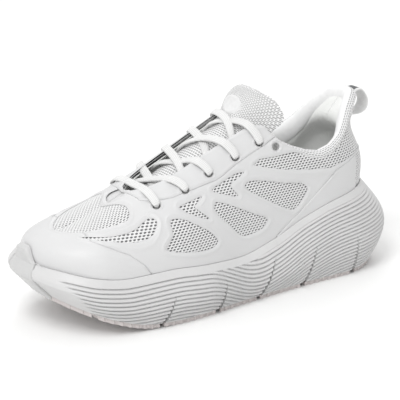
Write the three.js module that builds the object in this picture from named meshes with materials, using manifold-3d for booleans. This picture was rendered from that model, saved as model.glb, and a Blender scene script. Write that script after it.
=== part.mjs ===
// Left running shoe, in millimetres: the toe points to -X, the lateral side faces -Y and +Z is up.
// The shoe is built from the ground up on one last shape: outsole pads, foam midsole with a cup,
// strobel board and sockliner, then the upper in layers: lining, foam, stiffeners, mesh and film.
import * as THREE from 'three';
import { mergeVertices } from 'three/addons/utils/BufferGeometryUtils.js';
import Module from 'manifold-3d';

const wasm = await Module();
wasm.setup();

// ---------- driving dimensions ----------
const SOLE_LENGTH = 300;
// The patterns below are drawn for a sole of this length, and are graded with it.
const PATTERN_LENGTH = 300;
const CLEARANCE = 0.3;
const TOE_ROUNDING = 40;
const HEEL_ROUNDING = 58;
const TOE_SWING = 8;
const OUTSOLE_THICKNESS = 3;
const FOOTBED_DEPTH_TOE = 14;
const FOOTBED_DEPTH_HEEL = 26;
const TOE_WRAP_THICKNESS = 3;
const STROBEL_THICKNESS = 1.6;
const SOCKLINER_THICKNESS = 4.5;
const MESH_THICKNESS = 1.2;
const FILM_THICKNESS = 0.8;
const STIFFENER_THICKNESS = 1;
const LINING_THICKNESS = 0.9;
const COLLAR_PADDING = 7;
const COLLAR_PAD_HEIGHT = 34;
const UPPER_INSET = 9;
const TOE_MARGIN = 12;
const HEEL_MARGIN = 21;
const TOE_LEAN = 30;
const HEEL_LEAN = 22;
const EYESTAY_WIDTH = 15;
const EYESTAY_GAP = 0.45;
const EYELET_RADIUS = 2.9;
const LACE_RADIUS = 1.5;
const TONGUE_THICKNESS = 5;
const TONGUE_DEPTH = 9.6;
const TONGUE_HINGE = [180, 131];
const INSTEP_HALF = 39;
const TAB_WIDTH = 14;
const TAB_THICKNESS = 1.6;
const TAB_REACH = 19;
const TAB_HEIGHT = 118;
const PAD_INSET = 1;
const SIPE_WIDTH = 3;
const SIPE_DEPTH = 11;
const FLEX_GROOVE = 4;
const PAD_EDGE_MARGIN = 0.4;

const along = (x) => x * SOLE_LENGTH / PATTERN_LENGTH;
const graded = (outline) => outline.map(([x, across]) => [along(x), across]);

// Stations along the sole, as [share of the sole length from the toe, millimetres].
const HALF_LATERAL = [[0, 54], [0.2, 61], [0.333, 63], [0.533, 57], [0.717, 54], [0.867, 55], [1, 54]];
const HALF_MEDIAL = [[0, 52], [0.2, 57], [0.3, 56], [0.5, 48], [0.717, 45], [0.867, 47], [1, 46]];
const SOLE_TOP = [
  [0, 51], [0.05, 49], [0.117, 44], [0.2, 40.5], [0.3, 41], [0.4, 38], [0.5, 36],
  [0.6, 42], [0.7, 53], [0.8, 61], [0.9, 64], [1, 66],
];
const SOLE_BOTTOM = [
  [0, 31], [0.067, 20.5], [0.15, 9.5], [0.25, 1], [0.35, 0], [0.767, 0], [0.85, 0], [0.933, 4], [1, 16],
];
const SPINE = [
  [0.1, 66], [0.167, 72.5], [0.233, 80.5], [0.317, 92], [0.4, 104], [0.5, 120],
  [0.617, 138], [0.733, 152], [0.873, 160],
];

// Outlines on the side of the shoe, as [x, z].
const TOE_SEAM = graded([[40, -5], [34, 14], [19, 27], [9, 38], [6, 60]]);
const TOE_CAP_EDGE = graded([[82, 30], [71, 48], [62, 56], [50, 62], [41, 66], [36, 90]]);
const HEEL_PANEL_EDGE = graded([[178, 30], [184, 44], [206, 58], [224, 71], [240, 82.5], [262, 88], [320, 92]]);
const COLLAR_RIM = graded([
  [192, 108.5], [205, 103.3], [217, 98.5], [228, 96], [239, 98.5], [250, 104.6],
  [268, 120.5], [280, 128], [290, 130], [330, 131],
]);
const COLLAR_STRIP = graded([
  [171, 98.5], [177, 101.6], [190, 101.4], [204, 102.3], [215, 99.5], [228, 97], [250, 106],
  [268, 121], [330, 134], [330, 93.5], [262, 89.5], [247, 87], [235, 85.5], [217, 87.5], [197, 91], [180, 95.5],
]);
const SIDE_WINDOWS = {
  midfoot_lower: graded([
    [97, 73], [106, 73], [115, 68], [125, 61], [131, 54], [130, 50.5], [122, 48.5], [105, 50.5],
    [90, 54.5], [90, 58], [96, 64],
  ]),
  midfoot_upper: graded([
    [133, 76], [135, 79], [142, 77], [154, 71], [166, 64.5], [175, 60], [176.5, 56.5], [170, 52],
    [157, 50.5], [151, 53], [142, 62], [133.5, 72],
  ]),
  heel: graded([
    [161, 85], [165, 88], [177, 86.5], [195, 81.5], [208, 79], [213.5, 74], [210, 68.5], [203, 61.5],
    [198, 61], [188, 66], [176, 73.5], [163, 82],
  ]),
  hook_front: graded([[107, 79.7], [112.5, 82], [125, 84.6], [123, 82.3], [118, 79], [121, 75.5], [127, 69.2], [115, 74]]),
  hook_rear: graded([[134.5, 87], [144, 91], [156, 94.8], [163, 95], [157, 91.6], [150, 87.6], [154.5, 79.5], [144, 82.6]]),
};

// Outlines seen from above, as [x, y]; y is measured to each side.
const VAMP_WINDOW = graded([
  [29, 0], [31, 8], [37, 16], [47, 23], [60, 28], [70, 30], [74, 27], [76, 19], [73, 11], [67, 3], [66, 0],
]);
const TOE_TEARDROP = graded([[71, -3], [73, 5], [78, 9], [84, 5], [85, -3], [79, -6]]);
const TOE_CRESCENT = graded([
  [37, 23], [48, 31], [60, 36], [72, 38], [79, 37], [85, 37], [88, 41], [84, 44.5], [76, 45], [65, 42.5],
  [52, 36.5], [44, 31],
]);
const THROAT = graded([
  [85, 0], [87, 7], [94, 14.5], [106, 19], [122, 21], [150, 22.5], [172, 24], [186, 27.5], [197, 31.5], [206, 36],
]);

// Lace holes on each side, as [station along the side, height share towards the spine].
const EYELETS = [[0.371, 0.608], [0.429, 0.583], [0.479, 0.575], [0.533, 0.55], [0.583, 0.525], [0.613, 0.433]];
const LACED_ROWS = 5;
// The throat and tongue reach less far to the medial side, where the instep is steeper.
const THROAT_MEDIAL_SHARE = 0.76;

// Cuts in the side of the midsole, as [x at the bottom, x at the top, height of the top].
const SIPES = [
  [35, 42, 24], [80, 89, 23], [127, 133, 23], [164, 178, 28], [205, 215, 29], [251, 252, 30],
].map(([bottomX, topX, topZ]) => [along(bottomX), along(topX), topZ]);

// ---------- curves ----------
const clamp01 = (value) => Math.min(Math.max(value, 0), 1);

// Smooth curve through stations that never overshoots them.
function curve(x, stations, length = SOLE_LENGTH) {
  const points = stations.map(([share, value]) => [share * length, value]);
  const last = points.length - 1;
  if (x <= points[0][0]) return points[0][1];
  if (x >= points[last][0]) return points[last][1];
  const secant = (i) => (points[i + 1][1] - points[i][1]) / (points[i + 1][0] - points[i][0]);
  const slope = (i) => {
    if (i === 0) return secant(0);
    if (i === last) return secant(last - 1);
    const before = secant(i - 1);
    const after = secant(i);
    return before * after <= 0 ? 0 : 2 * before * after / (before + after);
  };
  let i = 0;
  while (x > points[i + 1][0]) i += 1;
  const span = points[i + 1][0] - points[i][0];
  const u = (x - points[i][0]) / span;
  return points[i][1] * (1 - u) ** 2 * (1 + 2 * u) + points[i + 1][1] * u * u * (3 - 2 * u)
    + span * (slope(i) * u * (1 - u) ** 2 - slope(i + 1) * u * u * (1 - u));
}

const centreLine = (x) => TOE_SWING * clamp01(1 - x / (0.4 * SOLE_LENGTH)) ** 2;

// One point of the sole's plan outline: station t runs from the toe (0) to the heel (1).
function planPoint(t, side, inset, toeInset, heelInset) {
  const start = toeInset;
  const end = SOLE_LENGTH - heelInset;
  const x = start + (end - start) * (1 - Math.cos(Math.PI * t)) / 2;
  const half = curve(x, side < 0 ? HALF_LATERAL : HALF_MEDIAL) - inset;
  const toe = Math.sqrt(1 - (1 - clamp01((x - start) / TOE_ROUNDING)) ** 2);
  const heel = (1 - (1 - clamp01((end - x) / HEEL_ROUNDING)) ** 2.4) ** (1 / 2.4);
  return [x, centreLine(x) + side * half * toe * heel];
}

// Side wall of the sole: height h runs from the ground (0) to the top edge (1).
function solePoint(t, h, side, grow = 0, lift = 0) {
  const inset = 7 * clamp01((h - 0.45) / 0.55) ** 1.8 + 5 * clamp01((0.35 - h) / 0.35) ** 1.6;
  const toeInset = 8 * clamp01((h - 0.6) / 0.4) ** 1.6 + 14 * clamp01((0.5 - h) / 0.5) ** 1.3;
  const heelInset = 19 * clamp01((h - 0.35) / 0.65) ** 1.6 + 10 * clamp01((0.35 - h) / 0.35) ** 1.5;
  const [x, y] = planPoint(t, side, inset - grow, toeInset - grow, heelInset - grow);
  const z = (curve(x, SOLE_BOTTOM) + lift) * (1 - h) + curve(x, SOLE_TOP) * h;
  return new THREE.Vector3(x, y, z);
}

// Outer face of the upper: height v runs from the sole's top edge (0) to the spine (1).
function lastPoint(t, v, side) {
  const [x, y] = planPoint(t, side, UPPER_INSET, TOE_MARGIN, HEEL_MARGIN);
  const z = curve(x, SOLE_TOP) - 3;
  const lean = TOE_LEAN * clamp01(1 - (x - TOE_MARGIN) / along(90)) ** 2
    - HEEL_LEAN * clamp01((x - along(200)) / along(80)) ** 2;
  const spineX = x + lean;
  const across = Math.cos(v * Math.PI / 2) ** (2 / 2.25);
  const up = Math.sin(v * Math.PI / 2) ** (2 / 2.25);
  const height = z + (curve(spineX, SPINE) - z) * up;
  const heelShape = clamp01((x - along(230)) / along(50)) ** 2 * (5 * Math.exp(-(((height - 80) / 18) ** 2))
    - 4 * Math.exp(-(((height - 108) / 14) ** 2)) + 13 * clamp01((height - 106) / 25) ** 2);
  return new THREE.Vector3(
    x + lean * (1 - across) + heelShape,
    y + (centreLine(spineX) * 0.8 - y) * (1 - across),
    height,
  );
}

// Outward direction of the upper at (t, v), from its two tangents; it has no sideways part at the ends.
function lastNormal(t, v, side) {
  const step = 0.004;
  const at = (a, b) => lastPoint(THREE.MathUtils.clamp(a, 0.012, 0.988), THREE.MathUtils.clamp(b, 0.02, 0.97), side);
  const tc = THREE.MathUtils.clamp(t, 0.02, 0.98);
  const vc = THREE.MathUtils.clamp(v, 0.03, 0.96);
  const along = at(tc + step, vc).sub(at(tc - step, vc));
  const rise = at(tc, vc + step).sub(at(tc, vc - step));
  const normal = along.cross(rise).normalize().multiplyScalar(-side);
  if (t < 0.001 || t > 0.999 || v > 0.999) normal.y = 0;
  return normal.normalize();
}

const footbedHeight = (x) => curve(x, SOLE_TOP)
  - THREE.MathUtils.lerp(FOOTBED_DEPTH_TOE, FOOTBED_DEPTH_HEEL, THREE.MathUtils.smoothstep(x / SOLE_LENGTH, 0.45, 0.75));

// ---------- solids ----------
const SOLE_STEPS = 30;
const SOLE_HEIGHTS = [0, 0.14, 0.35, 0.6, 0.82, 1];

function solidFromTriangles(triangles) {
  const geometry = new THREE.BufferGeometry();
  geometry.setAttribute('position', new THREE.Float32BufferAttribute(triangles.flatMap((p) => [p.x, p.y, p.z]), 3));
  return solidFromGeometry(geometry);
}

function solidFromGeometry(source) {
  const plain = (source.index ? source.toNonIndexed() : source).clone();
  plain.deleteAttribute('normal');
  plain.deleteAttribute('uv');
  const merged = mergeVertices(plain, 1e-4);
  const index = [];
  for (let i = 0; i < merged.index.count; i += 3) {
    const [a, b, c] = [merged.index.getX(i), merged.index.getX(i + 1), merged.index.getX(i + 2)];
    if (a !== b && b !== c && a !== c) index.push(a, b, c);
  }
  return new wasm.Manifold(new wasm.Mesh({
    numProp: 3,
    vertProperties: new Float32Array(merged.attributes.position.array),
    triVerts: new Uint32Array(index),
  }));
}

// Closed solid between stacked outlines, each with a lateral and a medial half from toe to heel.
function stackSolid(levels) {
  const triangles = [];
  const quad = (a, b, c, d) => triangles.push(a, b, c, a, c, d);
  const top = levels.length - 1;
  const count = levels[0].lateral.length - 1;
  for (let i = 0; i < count; i += 1) {
    for (let k = 0; k < top; k += 1) {
      const [low, high] = [levels[k], levels[k + 1]];
      quad(low.lateral[i], low.lateral[i + 1], high.lateral[i + 1], high.lateral[i]);
      quad(low.medial[i + 1], low.medial[i], high.medial[i], high.medial[i + 1]);
    }
    quad(levels[0].lateral[i], levels[0].medial[i], levels[0].medial[i + 1], levels[0].lateral[i + 1]);
    quad(levels[top].lateral[i], levels[top].lateral[i + 1], levels[top].medial[i + 1], levels[top].medial[i]);
  }
  return solidFromTriangles(triangles);
}

function level(steps, pointAt) {
  const row = (side) => Array.from({ length: steps + 1 }, (_, i) => pointAt(i / steps, side));
  const lateral = row(-1);
  const medial = row(1);
  for (const end of [0, steps]) {
    lateral[end].y = (lateral[end].y + medial[end].y) / 2;
    medial[end] = lateral[end];
  }
  return { lateral, medial };
}

// The sole grown by a margin, with its ground face lifted and its top edge carried straight up by a cap.
function soleSolid(heights, grow = 0, lift = 0, cap = 0) {
  const levels = heights.map((h) => level(SOLE_STEPS, (t, side) => solePoint(t, h, side, grow, lift)));
  if (cap > 0) {
    levels.push(level(SOLE_STEPS, (t, side) => {
      const point = solePoint(t, 1, side, grow, lift);
      point.z += cap;
      return point;
    }));
  }
  return stackSolid(levels);
}

// The last shape offset by a distance, standing on the footbed; sink lowers its bottom.
const LAST_STEPS = 26;
const LAST_HEIGHTS = [0, 0.14, 0.28, 0.42, 0.56, 0.7, 0.85, 1];
function lastSolid(offsetAt, sink = 0) {
  const shifted = (t, v, side) => {
    const point = lastPoint(t, v, side);
    const offset = typeof offsetAt === 'number' ? offsetAt : offsetAt(point);
    return point.addScaledVector(lastNormal(t, v, side), offset);
  };
  const floor = level(LAST_STEPS, (t, side) => {
    const point = shifted(t, 0, side);
    point.z = footbedHeight(point.x) - sink;
    return point;
  });
  const shell = LAST_HEIGHTS.map((v) => level(LAST_STEPS, (t, side) => shifted(t, v, side)));
  for (const point of shell.at(-1).lateral.keys()) {
    shell.at(-1).medial[point] = shell.at(-1).lateral[point];
  }
  return stackSolid([floor, ...shell]);
}

// Prism of an outline given as [x, z], between two distances across the shoe.
function sidePrism(outline, yFrom, yTo) {
  const shape = new THREE.Shape(outline.map(([x, z]) => new THREE.Vector2(x, z)));
  const geometry = new THREE.ExtrudeGeometry(shape, { depth: yTo - yFrom, bevelEnabled: false });
  return solidFromGeometry(geometry.rotateX(Math.PI / 2).translate(0, yTo, 0));
}

// Prism of an outline given as [x, y], between two heights.
function topPrism(outline, zFrom = 20, zTo = 220) {
  const shape = new THREE.Shape(outline.map(([x, y]) => new THREE.Vector2(x, y)));
  const geometry = new THREE.ExtrudeGeometry(shape, { depth: zTo - zFrom, bevelEnabled: false });
  return solidFromGeometry(geometry.translate(0, 0, zFrom));
}

const bothSides = (outline, medialShare = 1) => [
  ...outline.map(([x, y]) => [x, y * medialShare]),
  ...outline.slice().reverse().map(([x, y]) => [x, -y]),
];
const flipSide = (outline, side) => outline.map(([x, y]) => [x, side * y]);
const tidyOutline = (outline) => outline.filter(([x, y], i) => {
  const [px, py] = outline[(i + outline.length - 1) % outline.length];
  return Math.hypot(x - px, y - py) > 0.01;
});
const WIDE = 90;
const BEYOND = along(340);

const shoe = new THREE.Group();

function addPiece(name, solid, colour, roughness) {
  const mesh = solid.getMesh();
  const geometry = new THREE.BufferGeometry();
  geometry.setAttribute('position', new THREE.BufferAttribute(new Float32Array(mesh.vertProperties), 3));
  geometry.setIndex(new THREE.BufferAttribute(new Uint32Array(mesh.triVerts), 1));
  const piece = new THREE.Mesh(geometry, new THREE.MeshStandardMaterial({ color: colour, roughness, metalness: 0 }));
  piece.name = name;
  shoe.add(piece);
}

// The largest closed body of a cut: slivers that a cut leaves behind are trimmed off the piece.
function largest(solid) {
  return solid.decompose().sort((a, b) => b.volume() - a.volume())[0];
}

// ---------- sole unit ----------
const bottomLift = OUTSOLE_THICKNESS + CLEARANCE;
const cupCutter = lastSolid(CLEARANCE);
const CAP = 12;

function seamPrism(outline, margin) {
  const shifted = outline.map(([x, z]) => [x + margin, z]);
  return sidePrism([[-40, outline[0][1]], ...shifted, [-40, outline.at(-1)[1]]], -WIDE, WIDE);
}

function sipePrism([bottomX, topX, topZ], side) {
  const slope = (topX - bottomX) / topZ;
  const half = SIPE_WIDTH / 2;
  const low = -4;
  const outline = [
    [bottomX + slope * low - half, low], [bottomX + slope * low + half, low],
    [topX + half * 0.25, topZ], [topX - half * 0.25, topZ],
  ];
  const wall = curve(bottomX, side < 0 ? HALF_LATERAL : HALF_MEDIAL) - SIPE_DEPTH;
  return side < 0 ? sidePrism(outline, -WIDE, -wall) : sidePrism(outline, wall, WIDE);
}

function makeMidsole() {
  const wrapInner = soleSolid(SOLE_HEIGHTS, -TOE_WRAP_THICKNESS - CLEARANCE, bottomLift, CAP);
  const wrapZone = seamPrism(TOE_SEAM, CLEARANCE).subtract(wrapInner);
  let foam = soleSolid(SOLE_HEIGHTS, 0, bottomLift).subtract(wrapZone).subtract(cupCutter);
  for (const sipe of SIPES) {
    for (const side of [-1, 1]) foam = foam.subtract(sipePrism(sipe, side));
  }
  addPiece('midsole', largest(foam), 0xf2f1ef, 0.7);
}

function makeToeWrap() {
  const outer = soleSolid(SOLE_HEIGHTS);
  const inner = soleSolid(SOLE_HEIGHTS, -TOE_WRAP_THICKNESS, OUTSOLE_THICKNESS, CAP);
  const filmClear = lastSolid(CLEARANCE * 2 + FILM_THICKNESS);
  const wrap = outer.subtract(inner).subtract(filmClear).intersect(seamPrism(TOE_SEAM, 0));
  addPiece('outsole_toe_wrap', largest(wrap), 0xdedcda, 0.5);
}

// Outsole pads fill the ground face between the sipes; a flex groove parts them down the middle.
function makePads() {
  const tread = stackSolid([0, OUTSOLE_THICKNESS].map((rise) => level(SOLE_STEPS, (t, side) => {
    const point = solePoint(t, 0, side, -PAD_INSET);
    point.z = curve(point.x, SOLE_BOTTOM) + rise;
    return point;
  })));
  const front = seamPrism(TOE_SEAM, CLEARANCE);
  const edges = [...SIPES.slice(1).map(([x]) => x), BEYOND];
  const gap = SIPE_WIDTH / 2 + PAD_EDGE_MARGIN;
  edges.forEach((edge, i) => {
    const from = i === 0 ? 0 : edges[i - 1] + gap;
    const span = sidePrism([[from, -5], [edge - gap, -5], [edge - gap, 40], [from, 40]], -WIDE, WIDE);
    const strip = tread.intersect(span).subtract(front);
    for (const [side, word] of [[-1, 'lateral'], [1, 'medial']]) {
      const [inner, outer] = [side * FLEX_GROOVE / 2, side * WIDE];
      const half = topPrism([[-10, inner], [BEYOND, inner], [BEYOND, outer], [-10, outer]], -5, 60);
      addPiece(`outsole_pad_${word}_${i + 1}`, largest(strip.intersect(half)), 0xe9e2df, 0.55);
    }
  });
}

// A flat board cut to the inside of the upper, between two heights above the footbed.
function footbedBoard(margin, low, high) {
  const levels = [low, high].map((height) => level(LAST_STEPS, (t, side) => {
    const point = lastPoint(t, 0, side).addScaledVector(lastNormal(t, 0, side), -margin);
    point.z = footbedHeight(point.x) + height;
    return point;
  }));
  return stackSolid(levels);
}

// ---------- upper ----------
const counterDepth = MESH_THICKNESS + CLEARANCE;
const liningDepth = counterDepth + STIFFENER_THICKNESS + CLEARANCE;
const strobelLow = CLEARANCE;
const boardMargin = liningDepth + LINING_THICKNESS + CLEARANCE;

const rimHeight = (x) => {
  const points = COLLAR_RIM;
  if (x <= points[0][0]) return points[0][1];
  const i = Math.min(points.findIndex(([px]) => px >= x), points.length - 1);
  const [[x0, z0], [x1, z1]] = [points[i - 1], points[i]];
  return z0 + (z1 - z0) * (x - x0) / (x1 - x0);
};

// Thickness of the collar padding: full just under the rim, none below the pad or ahead of the throat.
function paddingAt(point) {
  const back = THREE.MathUtils.smoothstep(point.x, along(186), along(206));
  const below = clamp01((rimHeight(point.x) - point.z) / COLLAR_PAD_HEIGHT);
  return COLLAR_PADDING * back * (1 - THREE.MathUtils.smoothstep(below, 0.35, 1));
}

const SKY = 240;
const openings = topPrism(tidyOutline(bothSides(THROAT, THROAT_MEDIAL_SHARE)))
  .add(sidePrism([...COLLAR_RIM, [COLLAR_RIM.at(-1)[0], SKY], [COLLAR_RIM[0][0], SKY]], -WIDE, WIDE));

function layer(outerOffset, innerOffset, sink = 0) {
  return lastSolid(outerOffset, sink).subtract(lastSolid(innerOffset, sink + 8)).subtract(openings);
}

function eyeletFrame([t, v], side) {
  return { centre: lastPoint(t, v, side), normal: lastNormal(t, v, side) };
}

function cylinderAlong(centre, axis, radius, from, to, sides = 10) {
  const geometry = new THREE.CylinderGeometry(radius, radius, to - from, sides);
  geometry.translate(0, (from + to) / 2, 0);
  geometry.applyQuaternion(new THREE.Quaternion().setFromUnitVectors(new THREE.Vector3(0, 1, 0), axis));
  return solidFromGeometry(geometry.translate(centre.x, centre.y, centre.z));
}

const laceHoles = EYELETS.flatMap((place) => [-1, 1].map((side) => {
  const { centre, normal } = eyeletFrame(place, side);
  return cylinderAlong(centre, normal, EYELET_RADIUS, -6, 4);
})).reduce((all, hole) => all.add(hole));

const sideWindows = (side) => Object.values(SIDE_WINDOWS)
  .map((outline) => (side < 0 ? sidePrism(outline, -WIDE, -30) : sidePrism(outline, 30, WIDE)))
  .reduce((all, prism) => all.add(prism));

const box = (x0, x1, y0, y1, z0, z1) => solidFromGeometry(
  new THREE.BoxGeometry(x1 - x0, y1 - y0, z1 - z0).translate((x0 + x1) / 2, (y0 + y1) / 2, (z0 + z1) / 2),
);

const VAMP_EDGE = along(86);
const HEEL_SEAM = CLEARANCE / 2;

function makeMesh() {
  const mesh = layer(0, -MESH_THICKNESS, -CLEARANCE).subtract(laceHoles);
  const behind = VAMP_EDGE + CLEARANCE;
  const zones = {
    vamp_mesh: box(-20, VAMP_EDGE, -WIDE, WIDE, 0, SKY),
    quarter_mesh_lateral: box(behind, BEYOND, -WIDE, -HEEL_SEAM, 0, SKY),
    quarter_mesh_medial: box(behind, BEYOND, HEEL_SEAM, WIDE, 0, SKY),
  };
  for (const [name, zone] of Object.entries(zones)) {
    addPiece(name, largest(mesh.intersect(zone)), 0xe6e6e4, 0.9);
  }
}

const COUNTER_OUTLINE = graded([[226, 20], [340, 20], [340, 104], [270, 100], [246, 84], [226, 60]]);
const PUFF_OUTLINE = graded([[-20, 20], [50, 20], [40, 58], [34, 90], [-20, 90]]);

function makeStiffeners() {
  const stiff = layer(-counterDepth, -counterDepth - STIFFENER_THICKNESS, -CLEARANCE);
  const counterZone = sidePrism(COUNTER_OUTLINE, -WIDE, WIDE);
  addPiece('heel_counter', largest(stiff.intersect(counterZone)), 0xd8d4cc, 0.6);
  const puffZone = sidePrism(PUFF_OUTLINE, -WIDE, WIDE);
  addPiece('toe_puff', largest(stiff.intersect(puffZone)), 0xd8d4cc, 0.6);
}

const PADDING_OUTLINE = graded([[200, 66], [214, 62], [340, 74], [340, 200], [200, 200]]);

function makeLiningAndPadding() {
  const depth = (point) => -liningDepth - paddingAt(point);
  const lining = layer(depth, (point) => depth(point) - LINING_THICKNESS, -CLEARANCE).subtract(laceHoles);
  addPiece('lining', largest(lining), 0xdadbd6, 0.95);
  const foamOuter = lastSolid(-liningDepth + STIFFENER_THICKNESS * 0.2);
  const foam = foamOuter.subtract(lastSolid((point) => depth(point) + CLEARANCE * 1.5, 8)).subtract(openings);
  const zone = sidePrism(PADDING_OUTLINE, -WIDE, WIDE);
  addPiece('collar_padding', largest(foam.intersect(zone)), 0xe8e6e0, 0.95);
}

// A side outline grown by a margin along x or up z, so that the film beside it keeps clear.
const moved = (outline, dx, dz) => outline.map(([x, z]) => [x + dx, z + dz]);
const toeZoneOf = (edge) => sidePrism([[-40, 20], ...edge, [-40, 90]], -WIDE, WIDE);
const heelZoneOf = (edge) => sidePrism([...edge, [BEYOND, 20], [edge[0][0], 20]], -WIDE, WIDE);

// The eyestay runs round the throat, a width away from it.
function eyestayZone(margin) {
  const outline = THROAT.map(([x, y], i) => (
    i === 0 ? [x - EYESTAY_WIDTH * 0.15 - margin, 0] : [x - 1 - margin, y + EYESTAY_WIDTH + margin]));
  return topPrism(tidyOutline(bothSides(outline, (THROAT_MEDIAL_SHARE + 1) / 2)), 40, SKY);
}

function makeFilm() {
  const low = CLEARANCE;
  const soleClear = soleSolid([0, 1], 20, 0, CLEARANCE * 2);
  const film = layer(low + FILM_THICKNESS, low).subtract(soleClear).subtract(laceHoles);
  const vampWindow = topPrism(tidyOutline(bothSides(VAMP_WINDOW)), 40, SKY);
  const toeCap = film.intersect(toeZoneOf(TOE_CAP_EDGE)).subtract(vampWindow);
  addPiece('toe_cap_film', largest(toeCap), 0xf4f3f2, 0.45);
  addPiece('heel_panel', largest(film.intersect(heelZoneOf(HEEL_PANEL_EDGE))), 0xf4f3f2, 0.45);
  const rest = [
    toeZoneOf(moved(TOE_CAP_EDGE, CLEARANCE * 1.4, 0)),
    heelZoneOf(moved(HEEL_PANEL_EDGE, 0, CLEARANCE * 1.6)),
    sidePrism(COLLAR_STRIP, -WIDE, WIDE),
    vampWindow,
    topPrism(TOE_TEARDROP, 40, SKY),
  ].reduce((solid, cut) => solid.subtract(cut), film);
  for (const [side, word] of [[-1, 'lateral'], [1, 'medial']]) {
    const half = rest.intersect(side < 0
      ? box(-20, BEYOND, -WIDE, -HEEL_SEAM, 0, SKY)
      : box(-20, BEYOND, HEEL_SEAM, WIDE, 0, SKY));
    const crescent = topPrism(flipSide(TOE_CRESCENT, side), 40, SKY);
    const panel = half.subtract(eyestayZone(EYESTAY_GAP)).subtract(sideWindows(side)).subtract(crescent);
    addPiece(`overlay_${word}`, largest(panel), 0xf6f5f4, 0.42);
    addPiece(`eyestay_${word}`, largest(half.intersect(eyestayZone(0))), 0xf6f5f4, 0.42);
  }
}

// ---------- tongue ----------
const TONGUE_TOP = [188, 148];
const TONGUE_HALF = [[0, 19], [0.3, 24.5], [0.64, 24.5], [0.8, 31], [0.93, 27], [1, 15]];
const TONGUE_SAG = {
  lateral: [[0, 11], [0.4, 18], [0.66, 29], [1, 18]],
  medial: [[0, 17], [0.4, 33], [0.66, 41], [1, 22]],
};
const tonguePath = new THREE.CatmullRomCurve3([
  ...[97, 122, 148, 170].map((x) => [along(x), curve(along(x), SPINE) - TONGUE_DEPTH]),
  ...graded([TONGUE_HINGE, [186, 141], TONGUE_TOP]),
].map(([x, z]) => new THREE.Vector3(x, 0, z)));
const TONGUE_SPREAD = INSTEP_HALF - UPPER_INSET;

function tonguePoint(s, w, depth) {
  const centre = tonguePath.getPoint(s);
  const along = tonguePath.getTangent(s);
  const out = new THREE.Vector3(-along.z, 0, along.x);
  const half = curve(s, TONGUE_HALF, 1) * (w < 0 ? 1 : THROAT_MEDIAL_SHARE);
  const sag = curve(s, w < 0 ? TONGUE_SAG.lateral : TONGUE_SAG.medial, 1) * Math.abs(w * half / TONGUE_SPREAD) ** 2.1;
  const taper = 0.35 + 0.65 * Math.sqrt(1 - Math.min(Math.abs(w), 1) ** 4);
  return new THREE.Vector3(centre.x, w * half, centre.z).addScaledVector(out, -sag - depth * taper);
}

// A length of the tongue; sideTrim shortens its upper end towards the sides, to leave room to bend.
function tongueSolid(from, to, steps, sideTrim = 0) {
  const triangles = [];
  const across = 8;
  const place = (i, j, depth) => {
    const w = 2 * j / across - 1;
    const end = to - sideTrim * Math.abs(w) ** 1.5;
    return tonguePoint(from + (end - from) * i / steps, w, depth);
  };
  const grid = [0, TONGUE_THICKNESS].map((depth) => Array.from({ length: steps + 1 }, (_, i) => (
    Array.from({ length: across + 1 }, (_, j) => place(i, j, depth))
  )));
  const quad = (a, b, c, d) => triangles.push(a, b, c, a, c, d);
  const [upper, lower] = grid;
  for (let i = 0; i < steps; i += 1) {
    for (let j = 0; j < across; j += 1) {
      quad(upper[i][j], upper[i + 1][j], upper[i + 1][j + 1], upper[i][j + 1]);
      quad(lower[i][j], lower[i][j + 1], lower[i + 1][j + 1], lower[i + 1][j]);
    }
    quad(upper[i][0], lower[i][0], lower[i + 1][0], upper[i + 1][0]);
    quad(upper[i][across], upper[i + 1][across], lower[i + 1][across], lower[i][across]);
  }
  for (let j = 0; j < across; j += 1) {
    quad(upper[0][j], upper[0][j + 1], lower[0][j + 1], lower[0][j]);
    quad(upper[steps][j], lower[steps][j], lower[steps][j + 1], upper[steps][j + 1]);
  }
  return solidFromTriangles(triangles);
}

// Share of the tongue's path where the hinge line crosses it.
const hingeShare = 4 / 6;
const TONGUE_SIDE_TRIM = 0.05;

function makeTongue() {
  const halfGap = 0.5 / tonguePath.getLength();
  addPiece('tongue_base', tongueSolid(0, hingeShare - halfGap, 10, TONGUE_SIDE_TRIM), 0xeeedeb, 0.9);
  addPiece('tongue_flap', tongueSolid(hingeShare + halfGap, 1, 8), 0xeeedeb, 0.9);
}

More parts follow.
